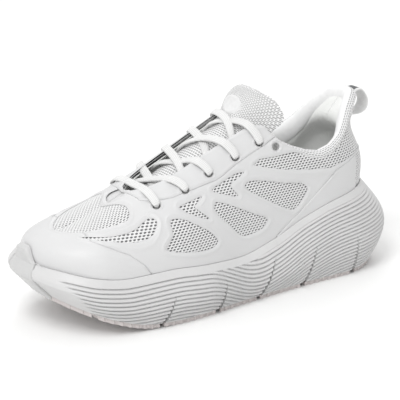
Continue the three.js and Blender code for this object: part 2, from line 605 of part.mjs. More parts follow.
// ---------- lace ----------
// One lace: a bar across the front row, then two halves that cross over the tongue. Each half goes
// down through a hole, runs under the eyestay to the gap, crosses the spine and passes over the
// other eyestay to its next hole. Its ends are tucked in beside the tongue.
function lacePath() {
  const over = FILM_THICKNESS + CLEARANCE * 2 + LACE_RADIUS + 0.7;
  const under = -(liningDepth + LINING_THICKNESS + LACE_RADIUS + CLEARANCE * 2.4);
  const spot = (t, v, side, offset) => lastPoint(t, v, side).addScaledVector(lastNormal(t, v, side), offset);
  const hole = (row, side, offset) => spot(...EYELETS[row], side, offset);
  const edgeShare = (side) => (side < 0 ? 0.4 : 0.58);
  const half = (firstSide) => {
    const points = [];
    let side = firstSide;
    for (let row = 0; row < LACED_ROWS; row += 1) {
      points.push(hole(row, side, over - 0.9), hole(row, side, 0), hole(row, side, under + 0.9));
      if (row < LACED_ROWS - 1) {
        const [t, v] = EYELETS[row];
        const [nextT, nextV] = EYELETS[row + 1];
        const crossing = (t + nextT) / 2;
        points.push(
          spot(THREE.MathUtils.lerp(t, crossing, 0.45), THREE.MathUtils.lerp(v, 1, edgeShare(side)), side, under),
          spot(crossing, 1, 1, firstSide < 0 ? under + 1.3 : under + 4.9),
          spot(THREE.MathUtils.lerp(nextT, crossing, 0.45), THREE.MathUtils.lerp(nextV, 1, edgeShare(-side)), -side, over),
          spot(THREE.MathUtils.lerp(nextT, crossing, 0.12), THREE.MathUtils.lerp(nextV, 1, 0.12), -side, over),
        );
        side = -side;
      }
    }
    const end = hole(LACED_ROWS - 1, side, under);
    points.push(new THREE.Vector3(end.x + 4, end.y + side * 0.6, end.z - 4));
    points.push(new THREE.Vector3(end.x + 9, end.y + side * 2.4, end.z - 13));
    return points;
  };
  const [t, v] = EYELETS[0];
  const bar = [[-1, 0.25], [-1, 1], [1, 0.25]].map(([side, share]) => (
    spot(t, THREE.MathUtils.lerp(v, 1, share), side, share === 1 ? over - 1.5 : over + CLEARANCE * 1.5)));
  return [...half(-1).reverse(), ...bar, ...half(1)];
}

function makeLace() {
  const path = new THREE.CatmullRomCurve3(lacePath(), false, 'centripetal');
  const section = new THREE.Shape(Array.from({ length: 6 }, (_, i) => (
    new THREE.Vector2(LACE_RADIUS * Math.cos(i * Math.PI / 3), LACE_RADIUS * Math.sin(i * Math.PI / 3))
  )));
  const geometry = new THREE.ExtrudeGeometry(section, { steps: 112, extrudePath: path, bevelEnabled: false });
  addPiece('lace', solidFromGeometry(geometry), 0xf0f0ee, 0.9);
}

// ---------- pull tab ----------
// How far back the upper's facets reach at a height.
function heelBack(height) {
  const profile = LAST_HEIGHTS.map((v) => lastPoint(1, v, 1));
  const i = profile.findIndex((point) => point.z > height);
  const [below, above] = [profile[i - 1], profile[i]];
  return THREE.MathUtils.mapLinear(height, below.z, above.z, below.x, above.x);
}

function makePullTab() {
  const [high, low] = [TAB_HEIGHT + 9, TAB_HEIGHT - 6.8];
  const start = (z) => heelBack(z + TAB_THICKNESS / 2) + CLEARANCE + 0.2;
  const reach = Math.max(start(high), start(low));
  const loop = [
    [start(high), high], [reach + 3, high + 0.9], [reach + 9, high + 1.2], [reach + 14, high - 1.2],
    [reach + TAB_REACH, TAB_HEIGHT + 2], [reach + TAB_REACH - 1, TAB_HEIGHT - 4], [reach + 13, low - 0.8],
    [reach + 5, low - 0.3], [start(low), low],
  ];
  const path = new THREE.CatmullRomCurve3(loop.map(([x, z]) => new THREE.Vector3(x, 0, z)));
  const triangles = [];
  const steps = 24;
  const rings = Array.from({ length: steps + 1 }, (_, i) => {
    const centre = path.getPoint(i / steps);
    const along = path.getTangent(i / steps);
    const out = new THREE.Vector3(-along.z, 0, along.x).multiplyScalar(TAB_THICKNESS / 2);
    return [[-1, 1], [1, 1], [1, -1], [-1, -1]].map(([y, n]) => (
      new THREE.Vector3(centre.x + n * out.x, y * TAB_WIDTH / 2, centre.z + n * out.z)));
  });
  const quad = (a, b, c, d) => triangles.push(a, b, c, a, c, d);
  for (let i = 0; i < steps; i += 1) {
    for (let j = 0; j < 4; j += 1) {
      const k = (j + 1) % 4;
      quad(rings[i][j], rings[i + 1][j], rings[i + 1][k], rings[i][k]);
    }
  }
  quad(rings[0][0], rings[0][1], rings[0][2], rings[0][3]);
  quad(rings[steps][3], rings[steps][2], rings[steps][1], rings[steps][0]);
  addPiece('pull_tab', solidFromTriangles(triangles), 0xe9e9e7, 0.9);
}

makeMidsole();
makeToeWrap();
makePads();
addPiece('strobel_board', footbedBoard(boardMargin, strobelLow, strobelLow + STROBEL_THICKNESS), 0xdad6cc, 0.95);
addPiece('sockliner', footbedBoard(
  boardMargin,
  strobelLow + STROBEL_THICKNESS + CLEARANCE,
  strobelLow + STROBEL_THICKNESS + CLEARANCE + SOCKLINER_THICKNESS,
), 0xcfd0cc, 0.95);
makeMesh();
makeStiffeners();
makeLiningAndPadding();
makeFilm();
makeTongue();
makeLace();
makePullTab();

// The origin is at the middle of the shoe's footprint, on the ground.
const bounds = new THREE.Box3().setFromObject(shoe);
const middle = bounds.getCenter(new THREE.Vector3());
shoe.position.set(-middle.x, -middle.y, -bounds.min.z);
shoe.updateMatrixWorld(true);

export default shoe;
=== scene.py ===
# %% [markdown]
# # A white running shoe
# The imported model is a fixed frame: it says where every part lies and how it moves. This lesson builds the
# fine surfaces around it. A shoe is made on a last, a foot-shaped block, so almost every surface here is one
# function of two parameters: a station from toe to heel, and a height from the sole to the spine of the foot.

# %% Load the frame
import math
import bmesh
import bpy
import numpy as np
from mathutils import Matrix, Vector


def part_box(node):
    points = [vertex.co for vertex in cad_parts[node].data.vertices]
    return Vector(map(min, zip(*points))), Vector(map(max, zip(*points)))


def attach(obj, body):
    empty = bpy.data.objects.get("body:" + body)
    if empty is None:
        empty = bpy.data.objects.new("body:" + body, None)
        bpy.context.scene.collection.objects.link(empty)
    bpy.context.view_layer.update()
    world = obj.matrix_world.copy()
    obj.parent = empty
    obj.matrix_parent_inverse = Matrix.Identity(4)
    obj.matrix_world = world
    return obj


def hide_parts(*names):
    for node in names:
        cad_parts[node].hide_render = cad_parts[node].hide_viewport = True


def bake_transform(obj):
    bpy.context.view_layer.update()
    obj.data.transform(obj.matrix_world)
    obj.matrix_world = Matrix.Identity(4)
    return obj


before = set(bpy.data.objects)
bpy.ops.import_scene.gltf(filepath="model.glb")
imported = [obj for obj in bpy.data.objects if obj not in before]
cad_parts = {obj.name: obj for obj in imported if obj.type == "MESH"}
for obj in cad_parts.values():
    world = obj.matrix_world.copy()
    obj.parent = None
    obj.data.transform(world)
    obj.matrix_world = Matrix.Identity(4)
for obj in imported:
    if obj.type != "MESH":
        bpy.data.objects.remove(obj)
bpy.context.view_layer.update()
MM = 0.001

# %% [markdown]
# The driving sizes are those of the design, in millimetres, with x from the toe tip and z from the ground.
# The frame's origin is under the middle of the shoe instead, so two boxes give the shift between them: the
# midsole ends at the heel, and the heel loop sits on the centre line.

# %% Driving sizes and the shift into the frame
SOLE_LENGTH = 300.0
CLEARANCE = 0.3
OUTSOLE_THICKNESS = 3.0
MESH_THICKNESS = 1.2
FILM_THICKNESS = 0.8
COLLAR_PADDING = 7.0
COLLAR_PAD_HEIGHT = 34.0
HEEL_AXIS = 246.0
UPPER_INSET = 9.0
TOE_ROUNDING = 40.0
HEEL_ROUNDING = 58.0
TOE_SWING = 8.0
TOE_TUCK = 4.0
UPPER_TOE = 8.5
SPINE_SWING = 0.8

heel_end = np.array(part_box("midsole")[1])[0]
tab_low, tab_high = (np.array(corner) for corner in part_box("pull_tab"))
SHIFT = np.array([heel_end - SOLE_LENGTH * MM, (tab_low[1] + tab_high[1]) / 2, 0.0])
print("shift from toe tip to frame, mm:", np.round(SHIFT * 1000, 2))

# %% [markdown]
# Stations carry the shoe's proportions: half widths, the top and bottom line of the sole, and the spine of
# the upper. A monotone curve joins them, so it never overshoots a station and the ground stays flat.

# %% Stations along the shoe
HALF_LATERAL = [(0, 54), (0.2, 61), (0.333, 63), (0.533, 57), (0.717, 54), (0.867, 55), (1, 54)]
HALF_MEDIAL = [(0, 52), (0.2, 57), (0.3, 56), (0.5, 48), (0.717, 45), (0.867, 47), (1, 46)]
SOLE_TOP = [(0, 51), (0.05, 49), (0.117, 44), (0.2, 40.5), (0.3, 41), (0.4, 38), (0.5, 36),
            (0.6, 42), (0.7, 53), (0.8, 61), (0.9, 64), (1, 66)]
SOLE_BOTTOM = [(0, 31), (0.067, 20.5), (0.15, 9.5), (0.25, 1), (0.35, 0), (0.767, 0), (0.85, 0),
               (0.933, 4), (1, 16)]
SPINE = [(0.1, 66), (0.167, 72.5), (0.233, 80.5), (0.317, 92), (0.4, 104), (0.5, 120),
         (0.617, 138), (0.733, 152), (0.873, 160)]


def smoothstep(x, low, high):
    """0 below low, 1 above high, and a smooth 3u^2 - 2u^3 between."""
    u = np.clip((x - low) / (high - low), 0, 1)
    return u * u * (3 - 2 * u)


def curve(x, stations, length=SOLE_LENGTH):
    """Cubic Hermite curve through the stations; each slope is the harmonic mean of the two chords' slopes."""
    px, py = np.array(stations, float).T
    px = px * length
    chord = np.diff(py) / np.diff(px)
    before, after = chord[:-1], chord[1:]
    slope = np.concatenate(([chord[0]], np.zeros(len(px) - 2), [chord[-1]]))
    same = before * after > 0
    slope[1:-1][same] = (2 * before * after)[same] / (before + after)[same]
    x = np.clip(x, px[0], px[-1])
    i = np.clip(np.searchsorted(px, x, side="right") - 1, 0, len(px) - 2)
    span = px[i + 1] - px[i]
    u = (x - px[i]) / span
    return (py[i] * (1 - u) ** 2 * (1 + 2 * u) + py[i + 1] * u * u * (3 - 2 * u)
            + span * (slope[i] * u * (1 - u) ** 2 - slope[i + 1] * u * u * (1 - u)))


def centre_line(x):
    """The toe swings inwards: a square falling off over the front two fifths."""
    return TOE_SWING * np.clip(1 - x / (0.4 * SOLE_LENGTH), 0, 1) ** 2


print("sole top at the heel:", float(curve(np.array(270.0), SOLE_TOP)), "mm")

# %% [markdown]
# The sole's wall and the upper share one plan outline. Both ends are rounded by a superellipse, so the toe is
# blunt and the heel is round. The upper leaves the sole vertically and closes on its spine, also along a
# superellipse, with a hollow above the heel and a flare at its top.


# %% Surfaces of the sole wall and of the last
def plan(t, side, inset, toe_inset, heel_inset):
    """x follows a cosine of t from toe to heel; y is the half width times a rounding at each end."""
    start, end = toe_inset, SOLE_LENGTH - heel_inset
    x = start + (end - start) * (1 - np.cos(np.pi * t)) / 2
    half = np.where(side < 0, curve(x, HALF_LATERAL), curve(x, HALF_MEDIAL)) - inset
    toe = np.sqrt(1 - (1 - np.clip((x - start) / TOE_ROUNDING, 0, 1)) ** 2)
    heel = (1 - (1 - np.clip((end - x) / HEEL_ROUNDING, 0, 1)) ** 2.4) ** (1 / 2.4)
    return x, centre_line(x) + side * half * toe * heel


def sole_wall(t, h, side, grow=0.0, lift=0.0):
    """Wall of the sole at height share h: widest at mid height, drawn in at the ground and at the top."""
    def over(share, power):
        return np.clip(share, 0, 1) ** power
    inset = 7 * over((h - 0.45) / 0.55, 1.8) + 5 * over((0.35 - h) / 0.35, 1.6)
    toe_inset = TOE_TUCK * over((h - 0.6) / 0.4, 1.6) + 14 * over((0.5 - h) / 0.5, 1.3)
    heel_inset = 19 * over((h - 0.35) / 0.65, 1.6) + 10 * over((0.35 - h) / 0.35, 1.5)
    x, y = plan(t, side, inset - grow, toe_inset - grow, heel_inset - grow)
    z = (curve(x, SOLE_BOTTOM) + lift) * (1 - h) + curve(x, SOLE_TOP) * h
    return np.stack([x, y, z], -1)


def last(t, v, side):
    """Outer face of the upper: a superellipse of power 2.25 from the sole's top (v=0) to the spine (v=1)."""
    x, y = plan(t, side, UPPER_INSET, UPPER_TOE, 21)
    z = curve(x, SOLE_TOP) - 3
    toe_lean = 30 * np.clip(1 - (x - 12) / 90, 0, 1) ** 2
    heel_lean = -22 * np.clip((x - 200) / 80, 0, 1) ** 2
    lean = toe_lean + heel_lean
    across = np.clip(np.cos(v * np.pi / 2), 0, 1) ** (2 / 2.25)
    up = np.sin(v * np.pi / 2) ** (2 / 2.25)
    height = z + (curve(x + lean, SPINE) - z) * up
    heel_shape = np.clip((x - 230) / 50, 0, 1) ** 2 * (
        5 * np.exp(-((height - 80) / 18) ** 2) - 4 * np.exp(-((height - 108) / 14) ** 2)
        + 13 * np.clip((height - 106) / 25, 0, 1) ** 2)
    middle = centre_line(x + lean) * SPINE_SWING
    x = x + toe_lean * (1 - across) ** 1.5 + heel_lean * (1 - across) + heel_shape
    return np.stack([x, y + (middle - y) * (1 - across), height], -1)


def facing(surface, t, v, side):
    """Unit normal of a surface of (t, v): the cross product of its two central differences."""
    step = 0.004
    tc, vc = np.clip(t, 0.02, 0.98), np.clip(v, 0.03, 0.96)
    along = surface(tc + step, vc, side) - surface(tc - step, vc, side)
    rise = surface(tc, np.minimum(vc + step, 0.97), side) - surface(tc, vc - step, side)
    normal = np.cross(along, rise) * -np.sign(side)[..., None]
    on_seam = (t < 0.001) | (t > 0.999) | (v > 0.999)
    normal[..., 1] = np.where(on_seam, 0, normal[..., 1])
    return normal / np.linalg.norm(normal, axis=-1, keepdims=True)


def on_last(t, v, side, offset=0.0):
    """A point of the upper moved out by an offset along its normal."""
    t, v, side, offset = np.broadcast_arrays(t, v, side, offset)
    side = side.astype(float)
    return last(t, v, side) + facing(last, t, v, side) * offset[..., None]


print("upper's spine at the throat:", np.round(on_last(0.35, 1.0, -1.0), 1))

# %% [markdown]
# Meshes go into Blender as whole arrays. A grid of points needs one face for each cell; a ring closes on
# itself. Every piece is made in millimetres from the toe tip and placed once, in its own vertices.


# %% Mesh helpers
def grid_faces(rows, columns, closed=False, start=0):
    """Quads of a rows by columns grid of points, numbered row by row."""
    last_column = columns if closed else columns - 1
    r, c = np.meshgrid(np.arange(rows - 1), np.arange(last_column), indexing="ij")
    c2 = (c + 1) % columns
    quads = np.stack([r * columns + c, r * columns + c2, (r + 1) * columns + c2, (r + 1) * columns + c], -1)
    return quads.reshape(-1, 4) + start


def turn_outwards(mesh):
    """Turn every face of a closed mesh to the outside."""
    work = bmesh.new()
    work.from_mesh(mesh)
    bmesh.ops.recalc_face_normals(work, faces=work.faces)
    if work.calc_volume(signed=True) < 0:
        bmesh.ops.reverse_faces(work, faces=work.faces)
    work.to_mesh(mesh)
    work.free()


def make_mesh(name, points, faces, uv=None, closed=True):
    """A mesh object from points in millimetres and an array (or list of arrays) of faces."""
    groups = [np.asarray(group, int) for group in (faces if isinstance(faces, list) else [faces])]
    mesh = bpy.data.meshes.new(name)
    placed = points.reshape(-1, 3) * MM + SHIFT
    corners = np.concatenate([group.ravel() for group in groups])
    sizes = np.concatenate([np.full(len(group), group.shape[1]) for group in groups])
    mesh.vertices.add(len(placed))
    mesh.vertices.foreach_set("co", placed.ravel())
    mesh.loops.add(len(corners))
    mesh.loops.foreach_set("vertex_index", corners)
    mesh.polygons.add(len(sizes))
    mesh.polygons.foreach_set("loop_start", np.concatenate([[0], np.cumsum(sizes)[:-1]]))
    mesh.polygons.foreach_set("use_smooth", np.ones(len(sizes), bool))
    if uv is not None:
        layer = mesh.uv_layers.new(name="UVMap")
        layer.uv.foreach_set("vector", uv.reshape(-1, 2)[corners].ravel())
    mesh.update(calc_edges=True)
    mesh.validate()
    if closed:
        turn_outwards(mesh)
    piece = bpy.data.objects.new(name, mesh)
    bpy.context.scene.collection.objects.link(piece)
    return piece


made = {}


def finish_piece(piece, material, body="shoe", replaces=()):
    """Give a piece its material, its body and the nodes that it stands for."""
    piece.data.materials.clear()
    piece.data.materials.append(material)
    if body:
        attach(piece, body)
    if replaces:
        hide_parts(*replaces)
    made[piece.name] = sum(len(p.vertices) - 2 for p in piece.data.polygons)
    print(f"{piece.name}: {made[piece.name]} triangles")
    return piece


def keep_inside(uv, triangles, field):
    """Cut a triangle mesh along field = 0 and keep the positive side; new points lie on crossed edges."""
    inside = field > 0
    count = inside[triangles].sum(1)
    kept = [triangles[count == 3]]
    points, values = [uv], [field]
    total = len(uv)
    for number in (1, 2):
        part = triangles[count == number]
        odd = inside[part] if number == 1 else ~inside[part]
        first = odd.argmax(1)
        rows = np.arange(len(part))
        a, b, c = (part[rows, (first + k) % 3] for k in range(3))
        crossings = []
        for other in (b, c):
            share = (field[a] / (field[a] - field[other]))[:, None]
            points.append(uv[a] * (1 - share) + uv[other] * share)
            values.append(np.zeros(len(a)))
            crossings.append(np.arange(total, total + len(a)))
            total += len(a)
        ab, ac = crossings
        if number == 1:
            kept.append(np.stack([a, ab, ac], 1))
        else:
            kept += [np.stack([ab, b, c], 1), np.stack([ab, c, ac], 1)]
    return merge_points(np.concatenate(points), np.concatenate(kept))


def merge_points(points, triangles, tolerance=1e-6):
    """Join equal points and drop unused ones and faces that fold to a line."""
    key = np.round(points / tolerance).astype(np.int64)
    _, first, inverse = np.unique(key, axis=0, return_index=True, return_inverse=True)
    triangles = inverse.reshape(-1)[triangles]
    good = (triangles[:, 0] != triangles[:, 1]) & (triangles[:, 1] != triangles[:, 2]) \
        & (triangles[:, 2] != triangles[:, 0])
    triangles = triangles[good]
    used, renumbered = np.unique(triangles, return_inverse=True)
    return points[first][used], renumbered.reshape(triangles.shape)


def smooth_along(values, passes):
    """Running average of neighbours along the first axis, ends kept."""
    for _ in range(passes):
        values[1:-1] = (values[:-2] + 2 * values[1:-1] + values[2:]) / 4
    return values


def edge_loops(triangles):
    """Directed edges that only one triangle uses: the border of an open mesh."""
    edges = np.concatenate([triangles[:, [0, 1]], triangles[:, [1, 2]], triangles[:, [2, 0]]])
    key = np.sort(edges, 1)
    _, first, count = np.unique(key, axis=0, return_index=True, return_counts=True)
    return edges[first[count == 1]]


print("helpers ready")

# %% [markdown]
# Outlines are drawn by a few points and smoothed by a closed spline. A signed distance to an outline, positive
# inside, then drives both the cut of a window and the raised lines that follow its edge.


# %% Outlines and distances
def closed_spline(points, steps=10):
    """Closed Catmull-Rom spline: each span blends its four neighbours with cubic weights."""
    p = np.array(points, float)
    before, after, far = np.roll(p, 1, 0), np.roll(p, -1, 0), np.roll(p, -2, 0)
    u = np.arange(steps)[None, :, None] / steps
    p0, p1, p2, p3 = before[:, None], p[:, None], after[:, None], far[:, None]
    smooth = 0.5 * (2 * p1 + (p2 - p0) * u + (2 * p0 - 5 * p1 + 4 * p2 - p3) * u ** 2
                    + (3 * p1 - p0 - 3 * p2 + p3) * u ** 3)
    return smooth.reshape(-1, 2)


def segment_distance(q, a, b):
    """Distance from each q to each segment a-b, and where on it the nearest point lies."""
    ab = b - a
    share = np.clip(((q[:, None] - a) * ab).sum(-1) / (ab ** 2).sum(-1), 0, 1)
    near = a + share[..., None] * ab
    return np.linalg.norm(q[:, None] - near, axis=-1)


def signed_distance(q, outline):
    """Distance to a closed outline: positive inside, by counting the edges that a ray crosses."""
    shape = q.shape[:-1]
    q = q.reshape(-1, 2)
    a, b = outline, np.roll(outline, -1, 0)
    result = np.empty(len(q))
    for start in range(0, len(q), 20000):
        part = q[start:start + 20000]
        distance = segment_distance(part, a, b).min(1)
        x, y = part[:, 0:1], part[:, 1:2]
        crosses = (a[:, 1] > y) != (b[:, 1] > y)
        rise = np.where(np.abs(b[:, 1] - a[:, 1]) < 1e-9, 1e-9, b[:, 1] - a[:, 1])
        at = a[:, 0] + (y - a[:, 1]) / rise * (b[:, 0] - a[:, 0])
        odd = (crosses & (x < at)).sum(1) % 2 == 1
        result[start:start + 20000] = np.where(odd, distance, -distance)
    return result.reshape(shape)


def side_of_line(q, line):
    """Distance to an open line: positive on the left of its direction of travel."""
    shape = q.shape[:-1]
    q = q.reshape(-1, 2)
    a, b = line[:-1], line[1:]
    result = np.empty(len(q))
    for start in range(0, len(q), 20000):
        part = q[start:start + 20000]
        distance = segment_distance(part, a, b)
        near = distance.argmin(1)
        ab = (b - a)[near]
        to = part - a[near]
        left = ab[:, 0] * to[:, 1] - ab[:, 1] * to[:, 0]
        result[start:start + 20000] = np.where(left > 0, 1, -1) * distance.min(1)
    return result.reshape(shape)


print("outline helpers ready")

# %% [markdown]
# The camera stands in front of the lateral side, a little above the shoe, with a long lens, so the shoe keeps
# its proportions. Three large soft lamps and a bright world give the even light of a white studio table.

# %% Camera, floor and light
CAMERA_AZIMUTH = math.radians(-30.55)
CAMERA_ELEVATION = math.radians(18.4)
CAMERA_ROLL = math.radians(-2.46)
CAMERA_DISTANCE = 1.2938
CAMERA_LENS = 157.46


def camera_axes(azimuth, elevation):
    """Directions back, right and up of a camera that looks at a target from an azimuth and an elevation."""
    back = np.array([math.sin(azimuth) * math.cos(elevation), -math.cos(azimuth) * math.cos(elevation),
                     math.sin(elevation)])
    right = np.array([math.cos(azimuth), math.sin(azimuth), 0])
    return back, right, np.cross(back, right)


def add_camera():
    """A camera at the target plus back times the distance, turned about its own view by the roll."""
    back, right, up = camera_axes(CAMERA_AZIMUTH, CAMERA_ELEVATION)
    c, s = math.cos(CAMERA_ROLL), math.sin(CAMERA_ROLL)
    right, up = right * c + up * s, up * c - right * s
    data = bpy.data.cameras.new("camera")
    data.lens = CAMERA_LENS
    data.sensor_width = 36
    data.shift_x, data.shift_y = -0.007, 0.0208
    camera = bpy.data.objects.new("camera", data)
    bpy.context.scene.collection.objects.link(camera)
    target = np.array([150, 0, 60]) * MM + SHIFT
    place = np.eye(4)
    place[:3, 0], place[:3, 1], place[:3, 2] = right, up, back
    place[:3, 3] = target + back * CAMERA_DISTANCE
    camera.matrix_world = Matrix(place.tolist())
    bpy.context.scene.camera = camera


def add_lamp(name, place, size, power, colour=(1, 1, 1)):
    """A square area lamp at a place, in metres, that faces the middle of the shoe."""
    data = bpy.data.lights.new(name, "AREA")
    data.size = size
    data.energy = power
    data.color = colour
    lamp = bpy.data.objects.new(name, data)
    bpy.context.scene.collection.objects.link(lamp)
    lamp.location = place
    lamp.rotation_euler = (Vector((0, 0, 0.05)) - Vector(place)).to_track_quat("-Z", "Y").to_euler()


def new_material(name, colour, roughness, **sockets):
    """A material with one Principled shader; other sockets are given by their names."""
    material = bpy.data.materials.new(name)
    material.use_nodes = True
    shader = material.node_tree.nodes["Principled BSDF"]
    shader.inputs["Base Color"].default_value = (*colour, 1)
    shader.inputs["Roughness"].default_value = roughness
    for socket, value in sockets.items():
        shader.inputs[socket.replace("_", " ")].default_value = value
    return material, material.node_tree, shader


def add_floor():
    """A wide flat table top under the shoe."""
    half = 3.0
    mesh = bpy.data.meshes.new("floor")
    mesh.from_pydata([(-half, -half, 0), (half, -half, 0), (half, half, 0), (-half, half, 0)], [],
                     [(0, 1, 2, 3)])
    floor = bpy.data.objects.new("floor", mesh)
    bpy.context.scene.collection.objects.link(floor)
    material, tree, shader = new_material("table", (0.9, 0.9, 0.895), 0.85, Specular_IOR_Level=0.15)
    mesh.materials.append(material)


def add_world():
    """An even white sky."""
    world = bpy.data.worlds.new("studio")
    bpy.context.scene.world = world
    world.use_nodes = True
    background = world.node_tree.nodes["Background"]
    background.inputs["Color"].default_value = (1, 1, 1, 1)
    background.inputs["Strength"].default_value = 0.82


add_camera()
add_lamp("key", (-0.75, -0.55, 1.45), 0.7, 11.5)
add_lamp("fill", (-1.4, -0.2, 0.9), 1.0, 2)
add_lamp("rim", (0.7, 1.0, 1.3), 0.9, 6)
add_floor()
add_world()
bpy.context.scene.view_settings.view_transform = "Standard"
print("camera", bpy.context.scene.camera.name, "lamps", len(bpy.data.lights))

# %% [markdown]
# A finish is more than a colour. Moulded foam has a fine skin that mottles its gloss, rubber is a little
# sharper, fused film is satin, and yarn scatters light. Each material below adds its grain with noise or
# waves on Object coordinates, at the size of the real thing, so that it stays with the surface.

# %% Material helpers


def link(tree, source, socket):
    tree.links.new(source, socket)


def object_coordinates(tree, scale=(1, 1, 1)):
    """Object coordinates through a Mapping node that scales them to the size of a grain."""
    where = tree.nodes.new("ShaderNodeTexCoord")
    mapping = tree.nodes.new("ShaderNodeMapping")
    mapping.inputs["Scale"].default_value = scale
    link(tree, where.outputs["Object"], mapping.inputs["Vector"])
    return mapping.outputs["Vector"]


def add_noise(tree, vector, scale, detail=4.0):
    noise = tree.nodes.new("ShaderNodeTexNoise")
    noise.inputs["Scale"].default_value = scale
    noise.inputs["Detail"].default_value = detail
    link(tree, vector, noise.inputs["Vector"])
    return noise.outputs["Fac"]


def ramp(tree, factor, stops):
    """A colour ramp through (position, grey or colour) stops."""
    node = tree.nodes.new("ShaderNodeValToRGB")
    elements = node.color_ramp.elements
    while len(elements) < len(stops):
        elements.new(0.5)
    for element, (position, value) in zip(elements, stops):
        element.position = position
        element.color = (*value, 1) if hasattr(value, "__len__") else (value, value, value, 1)
    link(tree, factor, node.inputs["Fac"])
    return node.outputs["Color"]


def bump(tree, shader, height, strength, distance):
    node = tree.nodes.new("ShaderNodeBump")
    node.inputs["Strength"].default_value = strength
    node.inputs["Distance"].default_value = distance
    link(tree, height, node.inputs["Height"])
    link(tree, node.outputs["Normal"], shader.inputs["Normal"])
    return node


def mottled(name, light, dark, roughness, grain, bump_strength, bump_distance=0.0002, **sockets):
    """A moulded finish: colour and gloss vary softly over a few centimetres, and a fine grain is bumped."""
    material, tree, shader = new_material(name, light, sum(roughness) / 2, **sockets)
    where = object_coordinates(tree)
    clouds = add_noise(tree, where, 28)
    link(tree, ramp(tree, clouds, [(0.35, dark), (0.7, light)]), shader.inputs["Base Color"])
    link(tree, ramp(tree, add_noise(tree, where, 90), [(0.3, roughness[0]), (0.7, roughness[1])]),
         shader.inputs["Roughness"])
    bump(tree, shader, add_noise(tree, where, grain, 6), bump_strength, bump_distance)
    return material


FOAM = mottled("foam", (0.62, 0.618, 0.618), (0.59, 0.588, 0.588), (0.42, 0.55), 1500, 0.25)
# The toe rubber's darker grey is painted shade of the toe's front, which faces away from the light.
SHADED_TOE_RUBBER = mottled("toe_rubber", (0.56, 0.56, 0.558), (0.535, 0.535, 0.533), (0.38, 0.5), 1100, 0.3)
PAD_RUBBER = mottled("pad_rubber", (0.62, 0.575, 0.565), (0.58, 0.54, 0.53), (0.45, 0.6), 1400, 0.35)
FILM = mottled("film", (0.63, 0.63, 0.632), (0.61, 0.61, 0.612), (0.42, 0.54), 2200, 0.12, Coat_Weight=0.04)
BOARD = mottled("board", (0.75, 0.73, 0.68), (0.68, 0.66, 0.61), (0.8, 0.95), 900, 0.6)
STIFFENER = mottled("stiffener", (0.78, 0.76, 0.72), (0.72, 0.7, 0.66), (0.55, 0.7), 700, 0.3)
print("materials:", len(bpy.data.materials))

# %% [markdown]
# The midsole is one block of moulded foam, with a cup that holds the upper. Thin grooves run round its wall
# like contour lines, and slots cut its lower edge so it can flex. Each column of the grid is bent to follow
# the slots before the wall is displaced, so both slot edges come out as clean lines.

# %% Midsole
GROOVE_PITCH = 3.0
GROOVE_DEPTH = 1.5
GROOVE_TOP = 6.0
GROOVE_BOTTOM = 4.5
SIPE_WIDTH = 3.0
SIPE_DEPTH = 11.0
SIPE_REACH = 13.0
WRAP_STATION = 0.06
# The foam is cut back by the recess where the wrap lies. The wrap gains thickness where it climbs the toe cap.
WRAP_RECESS = 3.2
WRAP_THICKNESS = 2.7
WRAP_LIP_GAIN = 3.2
SIPES = [(35, 42, 24), (80, 89, 23), (127, 133, 23), (164, 178, 28), (205, 215, 29), (251, 252, 30)]


def station_at(x, start, end):
    """The station t whose plan point has this x: the inverse of the cosine spacing."""
    return np.arccos(np.clip(1 - 2 * (x - start) / (end - start), -1, 1)) / np.pi


def sipe_columns(count):
    """Columns along one side, in x: even in t, with extra ones just inside and outside each slot's edges."""
    half = SIPE_WIDTH / 2
    even = SOLE_LENGTH * (1 - np.cos(np.pi * np.linspace(0, 1, count))) / 2
    middles = np.array([bottom + (top - bottom) * 0.4 for bottom, top, _ in SIPES])
    near = np.min(np.abs(even[:, None] - middles), 1)
    extra = (middles[:, None] + half * np.array([-1.3, -1, -0.9, -0.4, 0, 0.4, 0.9, 1, 1.3])).ravel()
    return np.sort(np.concatenate([even[near > half * 1.45], extra])), middles


def bend_to_sipes(x, z, middles):
    """Move x so that columns near a slot follow its slanted, tapering line; also returns how deep it is."""
    half = SIPE_WIDTH / 2
    moved, depth = x.copy(), np.zeros_like(x)
    for (bottom, top, top_z), middle in zip(SIPES, middles):
        share = np.clip(z / top_z, -0.2, 1.15)
        away = x - middle
        near = 1 - smoothstep(np.abs(away), half * 1.5, SIPE_REACH)
        narrow = np.clip(1.08 - share, 0.06, 1.1)
        moved += near * (bottom + (top - bottom) * share - middle)
        moved += near * (narrow - 1) * np.clip(away, -half, half)
        depth += np.where(np.abs(away) < half * 0.95, np.clip((1.02 - share) * 6, 0, 1), 0)
    return moved, depth


def groove_field(x, z, top, bottom):
    """0 on the smooth wall, 1 in the bottom of a groove: lines a pitch apart, counted down from the top edge.
    Behind the arch the count slides by several lines, so some start at the top and older ones run out below."""
    down = top - z
    slide = 5.5 * smoothstep(x, 116, 172)
    pitch = GROOVE_PITCH - 0.25 * smoothstep(x, 170, 230)
    phase = (down - GROOVE_TOP) / pitch - slide
    away = np.abs(phase - np.round(phase)) * pitch
    line = np.exp(-(away / 0.42) ** 2)
    body = 0.28 * np.cos(2 * np.pi * phase) * 0.5 + 0.14
    band = (smoothstep(down, GROOVE_TOP - 1.6, GROOVE_TOP - 0.6)
            * smoothstep(z - bottom, GROOVE_BOTTOM - 2, GROOVE_BOTTOM))
    toe = smoothstep(x - 0.9 * down, 6, 12)
    return (line + body) * band * toe


